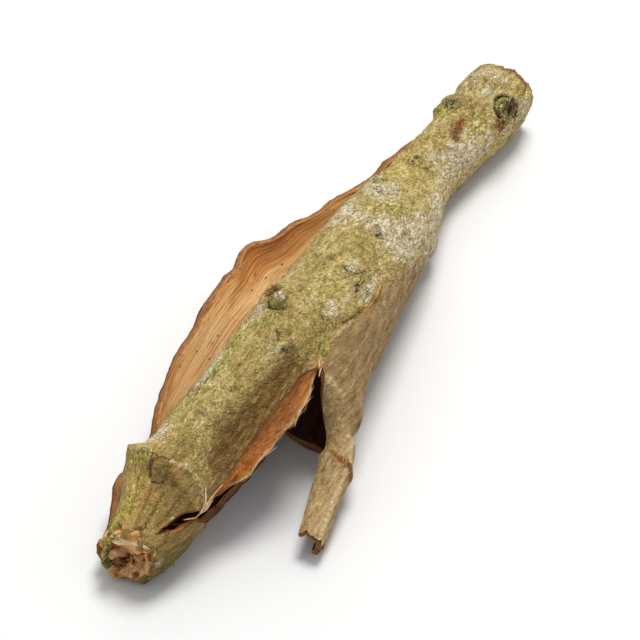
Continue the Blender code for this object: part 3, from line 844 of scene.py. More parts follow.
def bark_sheet():
    sheet = Sheet()
    covered = np.linspace(-1.0, 0.0, COVERED_COLUMNS, endpoint=False)
    upper = np.concatenate([covered, np.linspace(0.0, 1.0, UPPER_COLUMNS + 1)])
    lower = np.linspace(0.0, 1.0, LOWER_COLUMNS + 1)
    wall = np.linspace(0.0, 1.0, WALL_COLUMNS + 1)
    for stretch in STRETCHES:
        start, end, _ = stretch
        add_band(sheet, stretch, upper, inner_edge_turn, upper_edge, upper_edge_inside)
        add_band(sheet, stretch, lower, lower_lip_turn, rim_turn)
        if end <= SLOT_END_X:
            add_band(sheet, stretch, np.array([0.0, 1.0]), wall_edge, lower_lip_turn)
        elif start >= SPLIT_X:
            add_band(sheet, stretch, wall, wall_edge, lower_lip_turn)
    add_strip(sheet)
    sheet.weld()
    return sheet


def edge_roughness(points, near_end):
    """How far the fibres and lumps of a torn edge stand out, and how hollow it looks there."""
    fibres = sum(weight * grain(points, (length, width, width), seed)
                 for length, width, weight, seed in EDGE_FIBRES)
    length, width, seed = EDGE_LUMPS
    lumps = grain(points, (length, width, width), seed)
    end_fibres_share, end_lumps_share = END_FIBRES_AND_LUMPS
    at_end = end_fibres_share * fibres + end_lumps_share * lumps
    height = mix(EDGE_ROUGHNESS, END_ROUGHNESS, near_end) * mix(fibres, at_end, near_end)
    base, lumps_share, fibres_share = EDGE_HOLLOW
    return height, clamp(base - lumps_share * lumps - fibres_share * fibres)


def edge_rings(sheet):
    """The torn edges, the points along them, and the rows of points down to the inner face."""
    edges = sheet.free_edges()
    vertices = np.unique(edges)
    tangent = np.zeros((len(sheet.outer), 3))
    step = unit(sheet.outer[edges[:, 1]] - sheet.outer[edges[:, 0]])
    np.add.at(tangent, edges[:, 0], step)
    np.add.at(tangent, edges[:, 1], step)
    down = sheet.inner[vertices] - sheet.outer[vertices]
    outward = unit(np.cross(tangent[vertices], -down))
    x = sheet.places[vertices, 0]
    near_end = np.maximum(smooth(1.0 - (x - MOUTH_X) / END_LENGTHS[0]),
                          smooth(1.0 - (LENGTH - x) / END_LENGTHS[1]))
    reach, fade = ROLL_REACH
    rolled = MOUTH_ROLL * smooth((MOUTH_X + reach - x) / fade)
    rings, hollows = [], []
    for depth, stands_out in EDGE_STEPS:
        points = sheet.outer[vertices] + down * depth
        height, hollow = edge_roughness(points, near_end)
        out = stands_out + rolled * np.sin(np.pi * min(1.0, depth / ROLL_END)) ** 0.7 + height
        rings.append(no_lower(points + outward * out[:, None], 0.0))
        hollows.append(hollow)
    return edges, vertices, rings, hollows


def rolled_over(places, depth):
    """Whether the outer bark still covers the mouth's edge at a depth."""
    x, turn, _ = places.T
    amount, width = ROLL_WANDER
    wander = amount * np.array([noise.noise((value / width, 4.0, 1.0)) for value in turn])
    return (x < MOUTH_X + 0.4) & (depth < along(ROLL_DEPTH, turn) + wander)


def edge_faces(sheet, edges, levels):
    """The faces down the torn edges between levels, and what each shows: 0 bark, 1 torn bast."""
    steps = [0.0, *(depth for depth, _ in EDGE_STEPS), 1.0]
    a, b = edges.T
    faces, kinds = [], []
    for k, (upper, lower) in enumerate(zip(levels[:-1], levels[1:])):
        faces.append(np.stack([upper[b], upper[a], lower[a], lower[b]], axis=-1))
        kinds.append(np.where(rolled_over(sheet.places[a], 0.5 * (steps[k] + steps[k + 1])), 0, 1))
    return faces, kinds


def bark_mesh(sheet):
    """The sheet as one closed mesh, with where it lies and how deep as attributes."""
    edges, vertices, rings, hollows = edge_rings(sheet)
    count, rim = len(sheet.outer), len(vertices)
    inner_start = count + len(rings) * rim
    levels = [np.arange(count)]
    for k in range(len(rings)):
        row = np.full(count, -1)
        row[vertices] = count + k * rim + np.arange(rim)
        levels.append(row)
    levels.append(inner_start + np.arange(count))
    edge_quads, edge_kinds = edge_faces(sheet, edges, levels)
    faces = [sheet.quads, inner_start + sheet.quads[:, ::-1], *edge_quads]
    kinds = [np.full(len(sheet.quads), 0), np.full(len(sheet.quads), 2), *edge_kinds]
    depths = [np.zeros(count)] + [np.full(rim, depth) for depth, _ in EDGE_STEPS] + [np.ones(count)]
    hollows = [np.zeros(count), *hollows, np.full(count, INNER_HOLLOW)]
    places = np.concatenate([sheet.places] + [sheet.places[vertices]] * len(rings) + [sheet.places])
    points = np.concatenate([sheet.outer, *rings, sheet.inner])
    mesh = bpy.data.meshes.new("bark_sheet")
    mesh.from_pydata((points - QUILL_MIDDLE) * METRES, [], np.concatenate(faces).tolist())
    mesh.polygons.foreach_set("material_index", np.concatenate(kinds).astype(np.int32))
    add_places(mesh, points, places, np.concatenate(depths), np.concatenate(hollows))
    mesh.validate()
    mesh.shade_smooth()
    mesh.set_sharp_from_angle(angle=math.radians(SHARP_ANGLE))
    return mesh


def add_vector(mesh, name, values):
    attribute = mesh.attributes.new(name, "FLOAT_VECTOR", "POINT")
    attribute.data.foreach_set("vector", np.ascontiguousarray(values, np.float32).ravel())


def add_places(mesh, points, places, depth, hollow):
    """What the materials read: the point, its place on the sheet, what covers it there, and where shade
    and light are painted on it.
    """
    x, turn, on_strip = places.T
    crust = 1.0 - on_strip
    from_rim = np.radians(along(RIM_TURN, x) - turn) * FLANGE_RADIUS
    creased, _ = line_share(x, turn, CREASES, 1.2)
    grooved, _ = line_share(x, turn, GROOVES, 1.3)
    lined, _ = line_share(x, turn, PALE_LINES, 0.9)
    moss, pale, dark, rust, shaded, lit = (patches(x, turn, table) for table in (
        MOSS_PATCHES, PALE_PATCHES, DARK_PATCHES, RUST_PATCHES, SHADED_PATCHES, LIT_PATCHES))
    # dark knots and scars, and the creases painted dark, partly painted shade
    dark = np.maximum(dark, 0.8 * creased) * crust
    rust = np.maximum(rust * crust, strip_rust(x, turn) * on_strip)
    bare = np.maximum(bare_share(x, turn), on_strip)
    flange_start, flange_fade = FLANGE_FADE_TURNS
    flange = smooth((turn - flange_start) / flange_fade) * crust
    mouth = before(x, MOUTH_FADE) * before(turn, MOUTH_FADE_TURNS) * crust
    brim_edge = before(turn, BRIM_FADE_TURNS) * before(x, BRIM_FADE) * crust
    trough = np.maximum(trough_share(x, turn), 0.7 * grooved)
    lined = np.maximum(0.8 * lined * crust, 0.75 * strip_ridge(x, turn) * on_strip) * (1.0 - 0.9 * rust)
    add_vector(mesh, "spot", points)
    for name, parts in {"place": (x, from_rim, depth), "cover": (moss * crust, pale * crust, bare),
                        "dark_rust_flange": (dark, rust, flange), "tear": (mouth, brim_edge, hollow),
                        "brown": (cone_share(x, turn) * crust, trough * crust, lined),
                        "part": (on_strip, shaded * crust, lit * crust)}.items():
        add_vector(mesh, name, np.stack(parts, axis=-1))


def strip_ridge(x, turn):
    middle, _, _ = STRIP_RIDGE
    return bell((strip_side(turn) - middle) / RIDGE_LINE_WIDTH) * smooth((SPLIT_X - x) / RIDGE_LINE_FADE)


def strip_rust(x, turn):
    """The red-brown ring of the strip's node, and its orange lower edge."""
    side = strip_side(turn)
    share = (SPLIT_X - x) / (SPLIT_X - STRIP_END_X)
    wander = 0.02 * np.sin(4.0 * side + 1.0) + 0.012 * np.sin(11.0 * side)
    ring = bell((share - STRIP_NODE[0] - wander) / NODE_RUST)
    band = 0.9 * ring * np.exp(-(side / 0.95) ** 4)
    edge = 0.7 * smooth((side - 0.45) / 0.35) * smooth(share / 0.3)
    return np.maximum(band, edge)


SPECULAR = 0.25         # for all materials of the bark


class Shader:
    """Short names for the nodes of one material."""

    def __init__(self, name):
        self.material = bpy.data.materials.new(name)
        self.material.use_nodes = True
        self.tree = self.material.node_tree
        self.bsdf = self.tree.nodes["Principled BSDF"]

    def node(self, kind, settings=(), **inputs):
        made = self.tree.nodes.new(kind)
        for name, value in dict(settings).items():
            setattr(made, name, value)
        for name, value in inputs.items():
            self.put(made.inputs[name.replace("_", " ")], value)
        return made

    def put(self, socket, value):
        if isinstance(value, bpy.types.NodeSocket):
            self.tree.links.new(value, socket)
        else:
            socket.default_value = value

    def attribute(self, name):
        return self.node("ShaderNodeAttribute", {"attribute_name": name}).outputs["Vector"]

    def parts(self, vector):
        node = self.node("ShaderNodeSeparateXYZ", Vector=vector)
        return node.outputs["X"], node.outputs["Y"], node.outputs["Z"]

    def stretched(self, vector, size):
        """The vector divided by the size of a grain, in each direction."""
        node = self.node("ShaderNodeVectorMath", {"operation": "DIVIDE"})
        self.put(node.inputs[0], vector)
        self.put(node.inputs[1], size)
        return node.outputs["Vector"]

    def noise(self, vector, size, detail, roughness):
        """Noise from 0 to 1, spread so that it reaches both ends."""
        node = self.node("ShaderNodeTexNoise", Vector=self.stretched(vector, size), Scale=1.0,
                         Detail=detail, Roughness=roughness)
        return self.step(node.outputs["Fac"], 0.28, 0.72, "LINEAR")

    def cells(self, vector, size):
        """Round grains: how far from a grain's middle, and a random number for each."""
        node = self.node("ShaderNodeTexVoronoi", {"feature": "F1"},
                         Vector=self.stretched(vector, size), Scale=1.0)
        return node.outputs["Distance"], self.parts(node.outputs["Color"])[0]

    def math(self, operation, a, b=0.0, c=0.0):
        node = self.node("ShaderNodeMath", {"operation": operation})
        for socket, value in zip(node.inputs, (a, b, c)):
            self.put(socket, value)
        return node.outputs["Value"]

    def step(self, value, low, high, kind="SMOOTHSTEP"):
        """0 below low, 1 above high."""
        return self.node("ShaderNodeMapRange", {"interpolation_type": kind},
                         Value=value, From_Min=low, From_Max=high).outputs["Result"]

    def ragged(self, mask, coarse, fine, low=0.45, high=0.75, spread=0.9):
        """A mask that breaks up into blotches and grains along its edge."""
        value = self.math("MULTIPLY_ADD", coarse, spread, -0.5 * spread)
        value = self.math("ADD", value, self.math("MULTIPLY_ADD", fine, 0.8, -0.4))
        return self.step(self.math("MULTIPLY_ADD", mask, 1.35, value), low, high)

    def ramp(self, value, stops):
        node = self.node("ShaderNodeValToRGB", Fac=value)
        elements = node.color_ramp.elements
        while len(elements) < len(stops):
            elements.new(1.0)
        for element, (place, colour) in zip(elements, stops):
            element.position = place
            element.color = (*colour, 1.0)
        return node.outputs["Color"]

    def mix(self, share, a, b, blend="MIX"):
        node = self.node("ShaderNodeMix", {"data_type": "RGBA", "blend_type": blend})
        for socket, value in zip((node.inputs[0], node.inputs[6], node.inputs[7]), (share, a, b)):
            if isinstance(value, tuple):
                value = (*value, 1.0)
            self.put(socket, value)
        return node.outputs[2]

    def times(self, colour, factor, share=1.0):
        """The colour multiplied by another, as far as the share says."""
        return self.mix(share, colour, factor, "MULTIPLY")

    def over(self, colour, layer, mask, strength):
        """The colour with a layer over it where the mask is high."""
        return self.mix(self.math("MULTIPLY", mask, strength), colour, layer)

    def bump(self, height, distance, strength=1.0):
        node = self.node("ShaderNodeBump", Height=height, Distance=distance, Strength=strength)
        return node.outputs["Normal"]

    def finish(self, colour, roughness, normal):
        self.put(self.bsdf.inputs["Base Color"], colour)
        self.put(self.bsdf.inputs["Roughness"], roughness)
        self.put(self.bsdf.inputs["Normal"], normal)
        self.bsdf.inputs["Specular IOR Level"].default_value = SPECULAR
        return self.material


def grey(*values):
    return [(place, (shade, shade, shade)) for place, shade in values]


class Coats:
    """The coats on the outside of the bark, which share their grain."""

    def __init__(self, s):
        self.s = s
        self.spot = spot = s.attribute("spot")
        self.coarse = s.noise(spot, (2.2, 1.5, 1.5), 5.0, 0.75)
        self.fine = s.noise(spot, (0.55, 0.42, 0.42), 4.0, 0.75)
        self.streak = s.noise(spot, (7.0, 0.7, 0.7), 5.0, 0.7)
        self.mottle = s.noise(spot, (1.5, 1.1, 1.1), 3.0, 0.6)
        self.dome, self.pick = s.cells(spot, (0.52, 0.42, 0.42))
        self.small_dome, self.small_pick = s.cells(spot, (0.3, 0.25, 0.25))
        self.small = s.ramp(self.small_pick, grey((0.0, 0.66), (0.3, 0.95), (0.75, 1.06), (1.0, 1.3)))
        gaps = s.ramp(s.math("MAXIMUM", s.math("MULTIPLY", self.dome, 0.95), self.fine),
                      grey((0.0, 1.1), (0.55, 1.02), (0.85, 0.72), (1.0, 0.42)))
        self.speckle = s.times(self.small, gaps)

    def blotches(self, mask, low=0.45, high=0.75, spread=0.9):
        return self.s.ragged(mask, self.coarse, self.fine, low, high, spread)

    def streaks(self, mask, low, high):
        return self.s.ragged(mask, self.streak, self.fine, low, high)

    def olive_crust(self):
        s = self.s
        blotch = s.noise(self.spot, (7.0, 4.0, 4.0), 5.0, 0.65)
        olive = s.ramp(blotch, [(0.05, (0.26, 0.175, 0.050)), (0.35, (0.39, 0.28, 0.088)),
                                (0.6, (0.48, 0.355, 0.122)), (0.8, (0.54, 0.42, 0.18)),
                                (0.97, (0.60, 0.50, 0.27))])
        tone = s.noise(self.spot, (3.5, 2.2, 2.2), 3.0, 0.6)
        olive = s.over(olive, (0.33, 0.275, 0.075), s.step(tone, 0.55, 0.95), 0.55)
        mottle = s.ramp(self.mottle, [(0.08, (0.50, 0.47, 0.38)), (0.35, (0.86, 0.85, 0.80)),
                                      (0.65, (1.04, 1.05, 1.08)), (0.95, (1.28, 1.35, 1.75))])
        grains = s.ramp(self.pick, [(0.0, (0.60, 0.60, 0.54)), (0.25, (0.88, 0.88, 0.85)),
                                    (0.6, (1.0, 1.0, 1.0)), (0.85, (1.08, 1.10, 1.2)),
                                    (1.0, (1.22, 1.28, 1.6))])
        return s.times(s.times(olive, mottle, 0.85), s.times(grains, self.speckle), 0.9)

    def bare_tan(self, on_strip):
        s = self.s
        tan = s.ramp(self.streak, [(0.08, (0.17, 0.098, 0.038)), (0.4, (0.29, 0.195, 0.086)),
                                   (0.7, (0.37, 0.262, 0.128)), (0.95, (0.50, 0.39, 0.23))])
        # painted light: the strip's bare bark is a lighter copy of the wall's
        tan = s.times(tan, s.mix(on_strip, (0.90, 0.84, 0.78), (1.14, 1.12, 1.06)))
        stains = s.ramp(self.coarse, [(0.1, (0.66, 0.60, 0.50)), (0.5, (1.0, 1.0, 1.0)),
                                      (0.9, (1.22, 1.22, 1.25))])
        return s.times(s.times(tan, stains, 0.8), self.speckle, 0.6)

    def cone_brown(self):
        brown = self.s.ramp(self.streak, [
            (0.05, (0.13, 0.075, 0.020)), (0.3, (0.24, 0.162, 0.050)), (0.55, (0.36, 0.25, 0.080)),
            (0.75, (0.43, 0.285, 0.092)), (0.95, (0.56, 0.45, 0.22))])
        return self.s.times(brown, self.speckle, 0.55)

    def moss_green(self):
        return self.s.ramp(self.pick, [(0.0, (0.11, 0.10, 0.016)), (0.5, (0.30, 0.26, 0.052)),
                                       (0.85, (0.44, 0.39, 0.09)), (1.0, (0.62, 0.57, 0.24))])

    def trough_brown(self):
        deep = self.s.ramp(self.streak, [(0.1, (0.050, 0.024, 0.006)), (0.4, (0.135, 0.060, 0.013)),
                                         (0.65, (0.20, 0.118, 0.030)), (0.95, (0.34, 0.25, 0.095))])
        return self.s.times(deep, self.small, 0.6)

    def lichen_and_highlight_pale(self):
        pale = self.s.ramp(self.pick, [
            (0.0, (0.30, 0.235, 0.11)), (0.3, (0.46, 0.375, 0.21)), (0.65, (0.59, 0.50, 0.33)),
            (0.9, (0.70, 0.62, 0.46)), (1.0, (0.80, 0.75, 0.64))])
        return self.s.times(pale, self.speckle, 0.6)

    def red_bast(self):
        return self.s.ramp(self.fine, [(0.15, (0.075, 0.027, 0.009)), (0.5, (0.20, 0.082, 0.024)),
                                       (0.9, (0.40, 0.215, 0.085))])

    def cream_lines(self):
        return self.s.ramp(self.fine, [(0.1, (0.32, 0.21, 0.09)), (0.6, (0.56, 0.43, 0.23)),
                                       (1.0, (0.74, 0.62, 0.41))])

    def scars_and_shade_black(self):
        return self.s.ramp(self.small_pick, [(0.0, (0.020, 0.014, 0.007)), (0.5, (0.095, 0.070, 0.028)),
                                             (1.0, (0.26, 0.21, 0.10))])

    def height(self, bare):
        """Grains, pits between them and small lumps, all lower on bare bark."""
        s = self.s
        lumps = s.math("MULTIPLY_ADD", self.dome, -0.8, s.math("MULTIPLY", self.small_dome, -0.45))
        lumps = s.math("MULTIPLY_ADD", self.fine, 0.35, lumps)
        lumps = s.math("MULTIPLY_ADD", self.mottle, 0.8, lumps)
        return s.math("MULTIPLY", lumps, s.math("MULTIPLY_ADD", bare, -0.6, 1.0))


def shade_and_light(s, colour, shaded, lit, coarse):
    """Paints shade into the colour in the shaded patches and paints light into it in the lit ones."""
    # painted shade, broken up by coarse noise, and darkest where the patches are strongest
    shade_share = s.math("MULTIPLY", shaded, s.step(coarse, -0.4, 0.9))
    colour = s.times(colour, (0.66, 0.60, 0.48), shade_share)
    deepest = s.math("MULTIPLY", s.math("POWER", shaded, 6.0), 0.9)
    colour = s.times(colour, (0.42, 0.46, 0.44), deepest)
    # painted light in the lit patches
    return s.times(colour, (1.42, 1.36, 1.28), s.math("MULTIPLY", lit, 0.9))


def outside_material():
    """Olive crust of algae and moss, pale lichen with painted highlights on the knots, bare grey-tan
    bark, and patches of painted shade and painted light.
    """
    s = Shader("bark_outside")
    moss, pale, bare = s.parts(s.attribute("cover"))
    dark, rust, _ = s.parts(s.attribute("dark_rust_flange"))
    cone, trough, lined = s.parts(s.attribute("brown"))
    on_strip, shaded, lit = s.parts(s.attribute("part"))
    coats = Coats(s)
    colour = s.mix(coats.blotches(bare, 0.4, 0.8), coats.olive_crust(), coats.bare_tan(on_strip))
    colour = s.over(colour, coats.cone_brown(), coats.blotches(cone), 0.9)
    colour = s.over(colour, coats.moss_green(), coats.blotches(moss), 0.85)
    # painted shade and painted light
    colour = shade_and_light(s, colour, shaded, lit, coats.coarse)
    colour = s.over(colour, coats.trough_brown(), coats.streaks(trough, 0.35, 0.85), 0.9)
    # pale lichen, and painted highlights on the knots
    colour = s.over(colour, coats.lichen_and_highlight_pale(), coats.blotches(pale, 0.4, 0.85, 1.3), 0.85)
    colour = s.mix(coats.blotches(rust), colour, coats.red_bast())
    colour = s.over(colour, coats.cream_lines(), coats.streaks(lined, 0.3, 0.9), 0.8)
    # dark knots, scars and creases, partly painted shade
    colour = s.mix(coats.blotches(dark, 0.5, 1.0), colour, coats.scars_and_shade_black())
    return s.finish(colour, 0.92, s.bump(coats.height(bare), 0.00032))


def rind_to_bast(s, depth):
    """The layers of the torn edge, from the dark rind to the pale inner face."""
    return s.ramp(depth, [(0.0, (0.16, 0.10, 0.035)), (0.1, (0.22, 0.085, 0.024)),
                          (0.3, (0.36, 0.14, 0.038)), (0.75, (0.44, 0.18, 0.050)),
                          (0.9, (0.56, 0.29, 0.105)), (1.0, (0.62, 0.36, 0.15))])


def brim_brown(s, spot, x, depth):
    """The layers of the brim's edge: redder, striped, and brighter near its torn end."""
    brown = s.ramp(depth, [(0.0, (0.13, 0.065, 0.018)), (0.12, (0.25, 0.088, 0.020)),
                           (0.5, (0.38, 0.125, 0.026)), (0.8, (0.48, 0.18, 0.042)),
                           (0.92, (0.68, 0.40, 0.17)), (1.0, (0.72, 0.48, 0.24))])
    brown = s.times(brown, (1.5, 1.35, 1.1), s.step(x, 30.0, 20.0))
    stripe = s.noise(spot, (11.0, 0.8, 0.8), 4.0, 0.65)
    stripes = s.ramp(stripe, [(0.15, (0.58, 0.44, 0.34)), (0.5, (1.0, 1.0, 1.0)),
                              (0.85, (1.25, 1.5, 1.7))])
    return s.times(brown, stripes, 0.85)


def torn_material():
    """The torn edge: a thin dark rind, then orange, cream and red-brown fibres."""
    s = Shader("bark_torn_edge")
    spot = s.attribute("spot")
    mouth, brim_edge, hollow = s.parts(s.attribute("tear"))
    x, _, depth = s.parts(s.attribute("place"))
    fibre_noise = s.noise(spot, (4.5, 0.22, 0.22), 4.0, 0.7)
    blotch = s.noise(spot, (2.6, 1.2, 1.2), 4.0, 0.65)
    fine = s.noise(spot, (0.5, 0.3, 0.3), 3.0, 0.7)
    layers = s.mix(brim_edge, rind_to_bast(s, depth), brim_brown(s, spot, x, depth))
    # paler where fibres and lumps stand out and dark red-brown in the hollows: partly the bast's own
    # colour, partly painted shade
    cream = s.ramp(hollow, [(0.12, (0.94, 0.70, 0.38)), (0.36, (0.88, 0.52, 0.20)),
                            (0.6, (0.74, 0.33, 0.090)), (0.82, (0.44, 0.13, 0.030)),
                            (0.98, (0.17, 0.040, 0.012))])
    colour = s.mix(s.ragged(mouth, blotch, fine, 0.3, 0.7), layers, cream)
    lines = s.ramp(fibre_noise, [(0.1, (0.50, 0.40, 0.30)), (0.5, (0.96, 0.94, 0.92)),
                                 (0.9, (1.3, 1.3, 1.35))])
    colour = s.times(colour, lines, 0.75)
    stain = s.math("MULTIPLY", s.step(blotch, 0.6, 0.85), s.math("MULTIPLY_ADD", mouth, -0.6, 0.6))
    colour = s.mix(stain, colour, (0.115, 0.045, 0.014))
    return s.finish(colour, 0.78, s.bump(fibre_noise, 0.0003, 0.9))


def flange_bast(s, x, from_rim, band):
    """Red-brown at the rim, cream a little further in, then orange-tan."""
    across = s.math("MULTIPLY_ADD", band, 3.6, s.math("SUBTRACT", from_rim, 1.6))
    across = s.math("MULTIPLY_ADD", s.step(x, 66.0, 44.0), 2.4, across)
    return s.ramp(s.math("DIVIDE", across, 5.4), [
        (0.0, (0.34, 0.11, 0.026)), (0.2, (0.48, 0.175, 0.043)), (0.36, (0.64, 0.28, 0.078)),
        (0.52, (0.92, 0.53, 0.205)), (0.70, (0.96, 0.60, 0.26)), (1.0, (0.80, 0.44, 0.18))])


def inside_material():
    """The inner face: orange-tan bast with lengthwise fibres, brown and dark inside the roll."""
    s = Shader("bark_inside")
    place = s.attribute("place")
    x, from_rim, _ = s.parts(place)
    _, _, flange = s.parts(s.attribute("dark_rust_flange"))
    mouth, _, _ = s.parts(s.attribute("tear"))
    fibre_noise = s.noise(place, (9.0, 0.22, 1.0), 5.0, 0.7)
    band = s.noise(place, (26.0, 1.5, 1.0), 5.0, 0.6)
    blotch = s.noise(place, (4.0, 1.6, 1.0), 4.0, 0.7)
    pit, pit_pick = s.cells(place, (1.5, 0.65, 1.0))
    # dark brown on the inner face away from the flange, deep inside the roll
    inner_dark = s.ramp(band, [(0.1, (0.030, 0.012, 0.008)), (0.6, (0.075, 0.030, 0.016)),
                         (1.0, (0.14, 0.065, 0.030))])
    colour = s.mix(flange, inner_dark, flange_bast(s, x, from_rim, band))
    lines = s.ramp(fibre_noise, [(0.05, (0.60, 0.50, 0.42)), (0.5, (1.0, 1.0, 1.0)),
                                 (0.95, (1.28, 1.34, 1.5))])
    colour = s.times(colour, lines, 0.8)
    colour = s.over(colour, (0.26, 0.115, 0.042), s.step(blotch, 0.68, 0.95), 0.5)
    pits = s.math("MULTIPLY", s.step(pit, 0.22, 0.08), s.step(pit_pick, 0.6, 0.7))
    colour = s.mix(pits, colour, (0.13, 0.045, 0.015))
    red = s.ramp(fibre_noise, [(0.1, (0.10, 0.022, 0.009)), (0.6, (0.28, 0.075, 0.022)),
                               (0.95, (0.50, 0.22, 0.075))])
    colour = s.over(colour, red, s.math("MAXIMUM", mouth, s.step(x, 16.0, 9.0)), 0.85)
    return s.finish(colour, 0.66, s.bump(fibre_noise, 0.00022, 0.8))


def tinted_material(name, roughness, grain_size):
    """Small pieces that carry their own colour, with a little grain on it."""
    s = Shader(name)
    tint = s.node("ShaderNodeAttribute", {"attribute_name": "tint"}).outputs["Color"]
    grains = s.noise(s.attribute("spot"), grain_size, 3.0, 0.7)
    shade = s.ramp(grains, grey((0.1, 0.68), (0.5, 1.0), (0.9, 1.3)))
    return s.finish(s.times(tint, shade, 0.8), roughness, s.bump(grains, 0.0001))


def link_object(name, data):
    made = bpy.data.objects.new(name, data)
    bpy.context.scene.collection.objects.link(made)
    return made


def make_piece(name, mesh, materials):
    piece = link_object(name, mesh)
    for material in materials:
        mesh.materials.append(material)
    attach(piece, "root")
    return piece


def make_bark():
    mesh = bark_mesh(bark_sheet())
    piece = make_piece("bark_sheet", mesh, [outside_material(), torn_material(), inside_material()])
    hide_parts("bark")


LEAST_HEIGHT = 0.02     # of the small pieces over the ground


class Parts:
    """Many small closed lumps, gathered into one mesh with a colour for each point."""

    def __init__(self):
        self.points, self.faces, self.tints = [], [], []
        self.count = 0

    def add(self, points, faces, tint):
        self.points.append(points)
        self.faces.append(np.asarray(faces) + self.count)
        self.tints.append(np.broadcast_to(tint, points.shape))
        self.count += len(points)

    def add_copies(self, template, faces, middles, frames, sizes, tints):
        """A template at many places; frames are three directions, sizes one number for each."""
        copies = np.einsum("vk,nkj->nvj", template, frames * sizes[:, :, None]) + middles[:, None, :]
        shift = np.arange(len(middles))[:, None, None] * len(template)
        self.add(copies.reshape(-1, 3), (np.asarray(faces)[None] + shift).reshape(-1, 3),
                 np.repeat(tints, len(template), axis=0))

    def mesh(self, name):
        points = no_lower(np.concatenate(self.points), LEAST_HEIGHT)
        mesh = bpy.data.meshes.new(name)
        faces = [face for group in self.faces for face in group.tolist()]
        mesh.from_pydata((points - QUILL_MIDDLE) * METRES, [], faces)
        add_vector(mesh, "spot", points)
        attribute = mesh.attributes.new("tint", "FLOAT_COLOR", "POINT")
        tints = np.concatenate(self.tints)
        colours = np.concatenate([tints, np.ones((len(tints), 1))], axis=1)
        attribute.data.foreach_set("color", np.ascontiguousarray(colours, np.float32).ravel())
        mesh.shade_smooth()
        return mesh

    def finish(self, name, roughness, grain_size):
        make_piece(name, self.mesh(name), [tinted_material(name, roughness, grain_size)])


def shell_faces(rows, columns):
    """The faces of two grids of points, the second under the first, joined along their edges."""
    index = np.arange(rows * columns).reshape(rows, columns)
    a, b, c, d = (corner.ravel() for corner in grid_corners(rows, columns))
    top = np.concatenate([np.stack([a, b, c], -1), np.stack([a, c, d], -1)])
    loop = np.concatenate([index[0, :-1], index[:-1, -1], index[-1, :0:-1], index[:0:-1, 0]])
    after = np.roll(loop, -1)
    below = rows * columns
    sides = np.concatenate([np.stack([loop, loop + below, after + below], -1),
                            np.stack([loop, after + below, after], -1)])
    return np.concatenate([top, top[:, ::-1] + below, sides])


def point_list(*tables):
    return np.concatenate([table.reshape(-1, 3) for table in tables])


LUMP = np.array([(1, 0, 0), (0.2, 0.95, 0), (-0.9, 0.3, 0), (-0.4, -0.9, 0), (0.6, -0.75, 0),
                 (0.05, -0.05, 0.8), (0, 0, -0.8)])
LUMP_FACES = [(k, (k + 1) % 5, 5) for k in range(5)] + [((k + 1) % 5, k, 6) for k in range(5)]
LEAF = np.array([(0.5, 0, 0), (-0.3, 0.4, 0), (-0.3, -0.4, 0), (0.1, 0, 3.2)])
LEAF_FACES = [(0, 1, 3), (1, 2, 3), (2, 0, 3), (0, 2, 1)]


GRAIN_LEAN = 0.25
LEAF_LEAN = 0.55
TINT_SPREAD = 0.16


def frames_at(rng, normals, lean):
    """A turned set of three directions at each point, the last near the normal."""
    count = len(normals)
    up = unit(normals + lean * rng.normal(size=(count, 3)))
    side = unit(np.cross(up, rng.normal(size=(count, 3))))
    return np.stack([side, np.cross(up, side), up], axis=1)


def open_places(rng, count):
    """Random places on the uncovered outside, clear of the torn opening."""
    x = rng.uniform(MOUTH_X + 1.0, LENGTH - 1.6, count)
    turn = rng.uniform(COVERED_TURN, 360.0, count)
    upper, lower = along(UPPER_LIP_TURN, x), along(LOWER_LIP_TURN, x)
    above, below = CLEAR_OF_TEAR
    torn_out = (x < SPLIT_X) & (turn > upper - above) & (turn < lower + below)
    beyond, beside = CLEAR_OF_SLIT
    slit = (x > SLIT_X[0] - beyond) & (x < SLIT_X[1] + beyond) & (abs(turn - upper) < beside)
    keep = ~torn_out & ~slit & (turn < along(RIM_TURN, x) - CLEAR_OF_RIM)
    keep &= (patches(x, turn, DARK_PATCHES) < 0.6) & (patches(x, turn, RUST_PATCHES) < 0.35)
    return x[keep], turn[keep]


def jittered(rng, colours, count):
    """Random picks from a palette, each a little lighter or darker."""
    picked = np.array(colours)[rng.integers(len(colours), size=count)]
    return picked * np.exp(rng.normal(0.0, TINT_SPREAD, (count, 1)))


def scatter(rng, parts, wanted, share_of, radii, palette, flatness):
    x, turn = open_places(rng, wanted)
    keep = rng.random(len(x)) < share_of(x, turn)
    x, turn = x[keep], turn[keep]
    normals = surface_normal(torn_x(x, turn), turn)
    radius = mix(*radii, rng.random(len(x)) ** 2)
    scale = np.stack([radius, radius * rng.uniform(0.6, 1.0, len(x)), radius * flatness], axis=1)
    middles = outer_points(x, turn) + normals * (0.1 * radius)[:, None]
    parts.add_copies(LUMP, LUMP_FACES, middles, frames_at(rng, normals, GRAIN_LEAN), scale,
                     jittered(rng, palette, len(x)))


def olive_share(x, turn):
    covered = np.maximum(patches(x, turn, PALE_PATCHES), trough_share(x, turn))
    smooth_bark = np.maximum(0.92 * bare_share(x, turn), 0.9 * cone_share(x, turn))
    return 0.4 * ((1.0 - smooth_bark) * (1.0 - 0.9 * covered))


def pale_share(x, turn):
    return clamp(1.3 * patches(x, turn, PALE_PATCHES) - 0.15) ** 1.5


def moss_share(x, turn):
    return clamp(1.2 * patches(x, turn, MOSS_PATCHES) - 0.2)


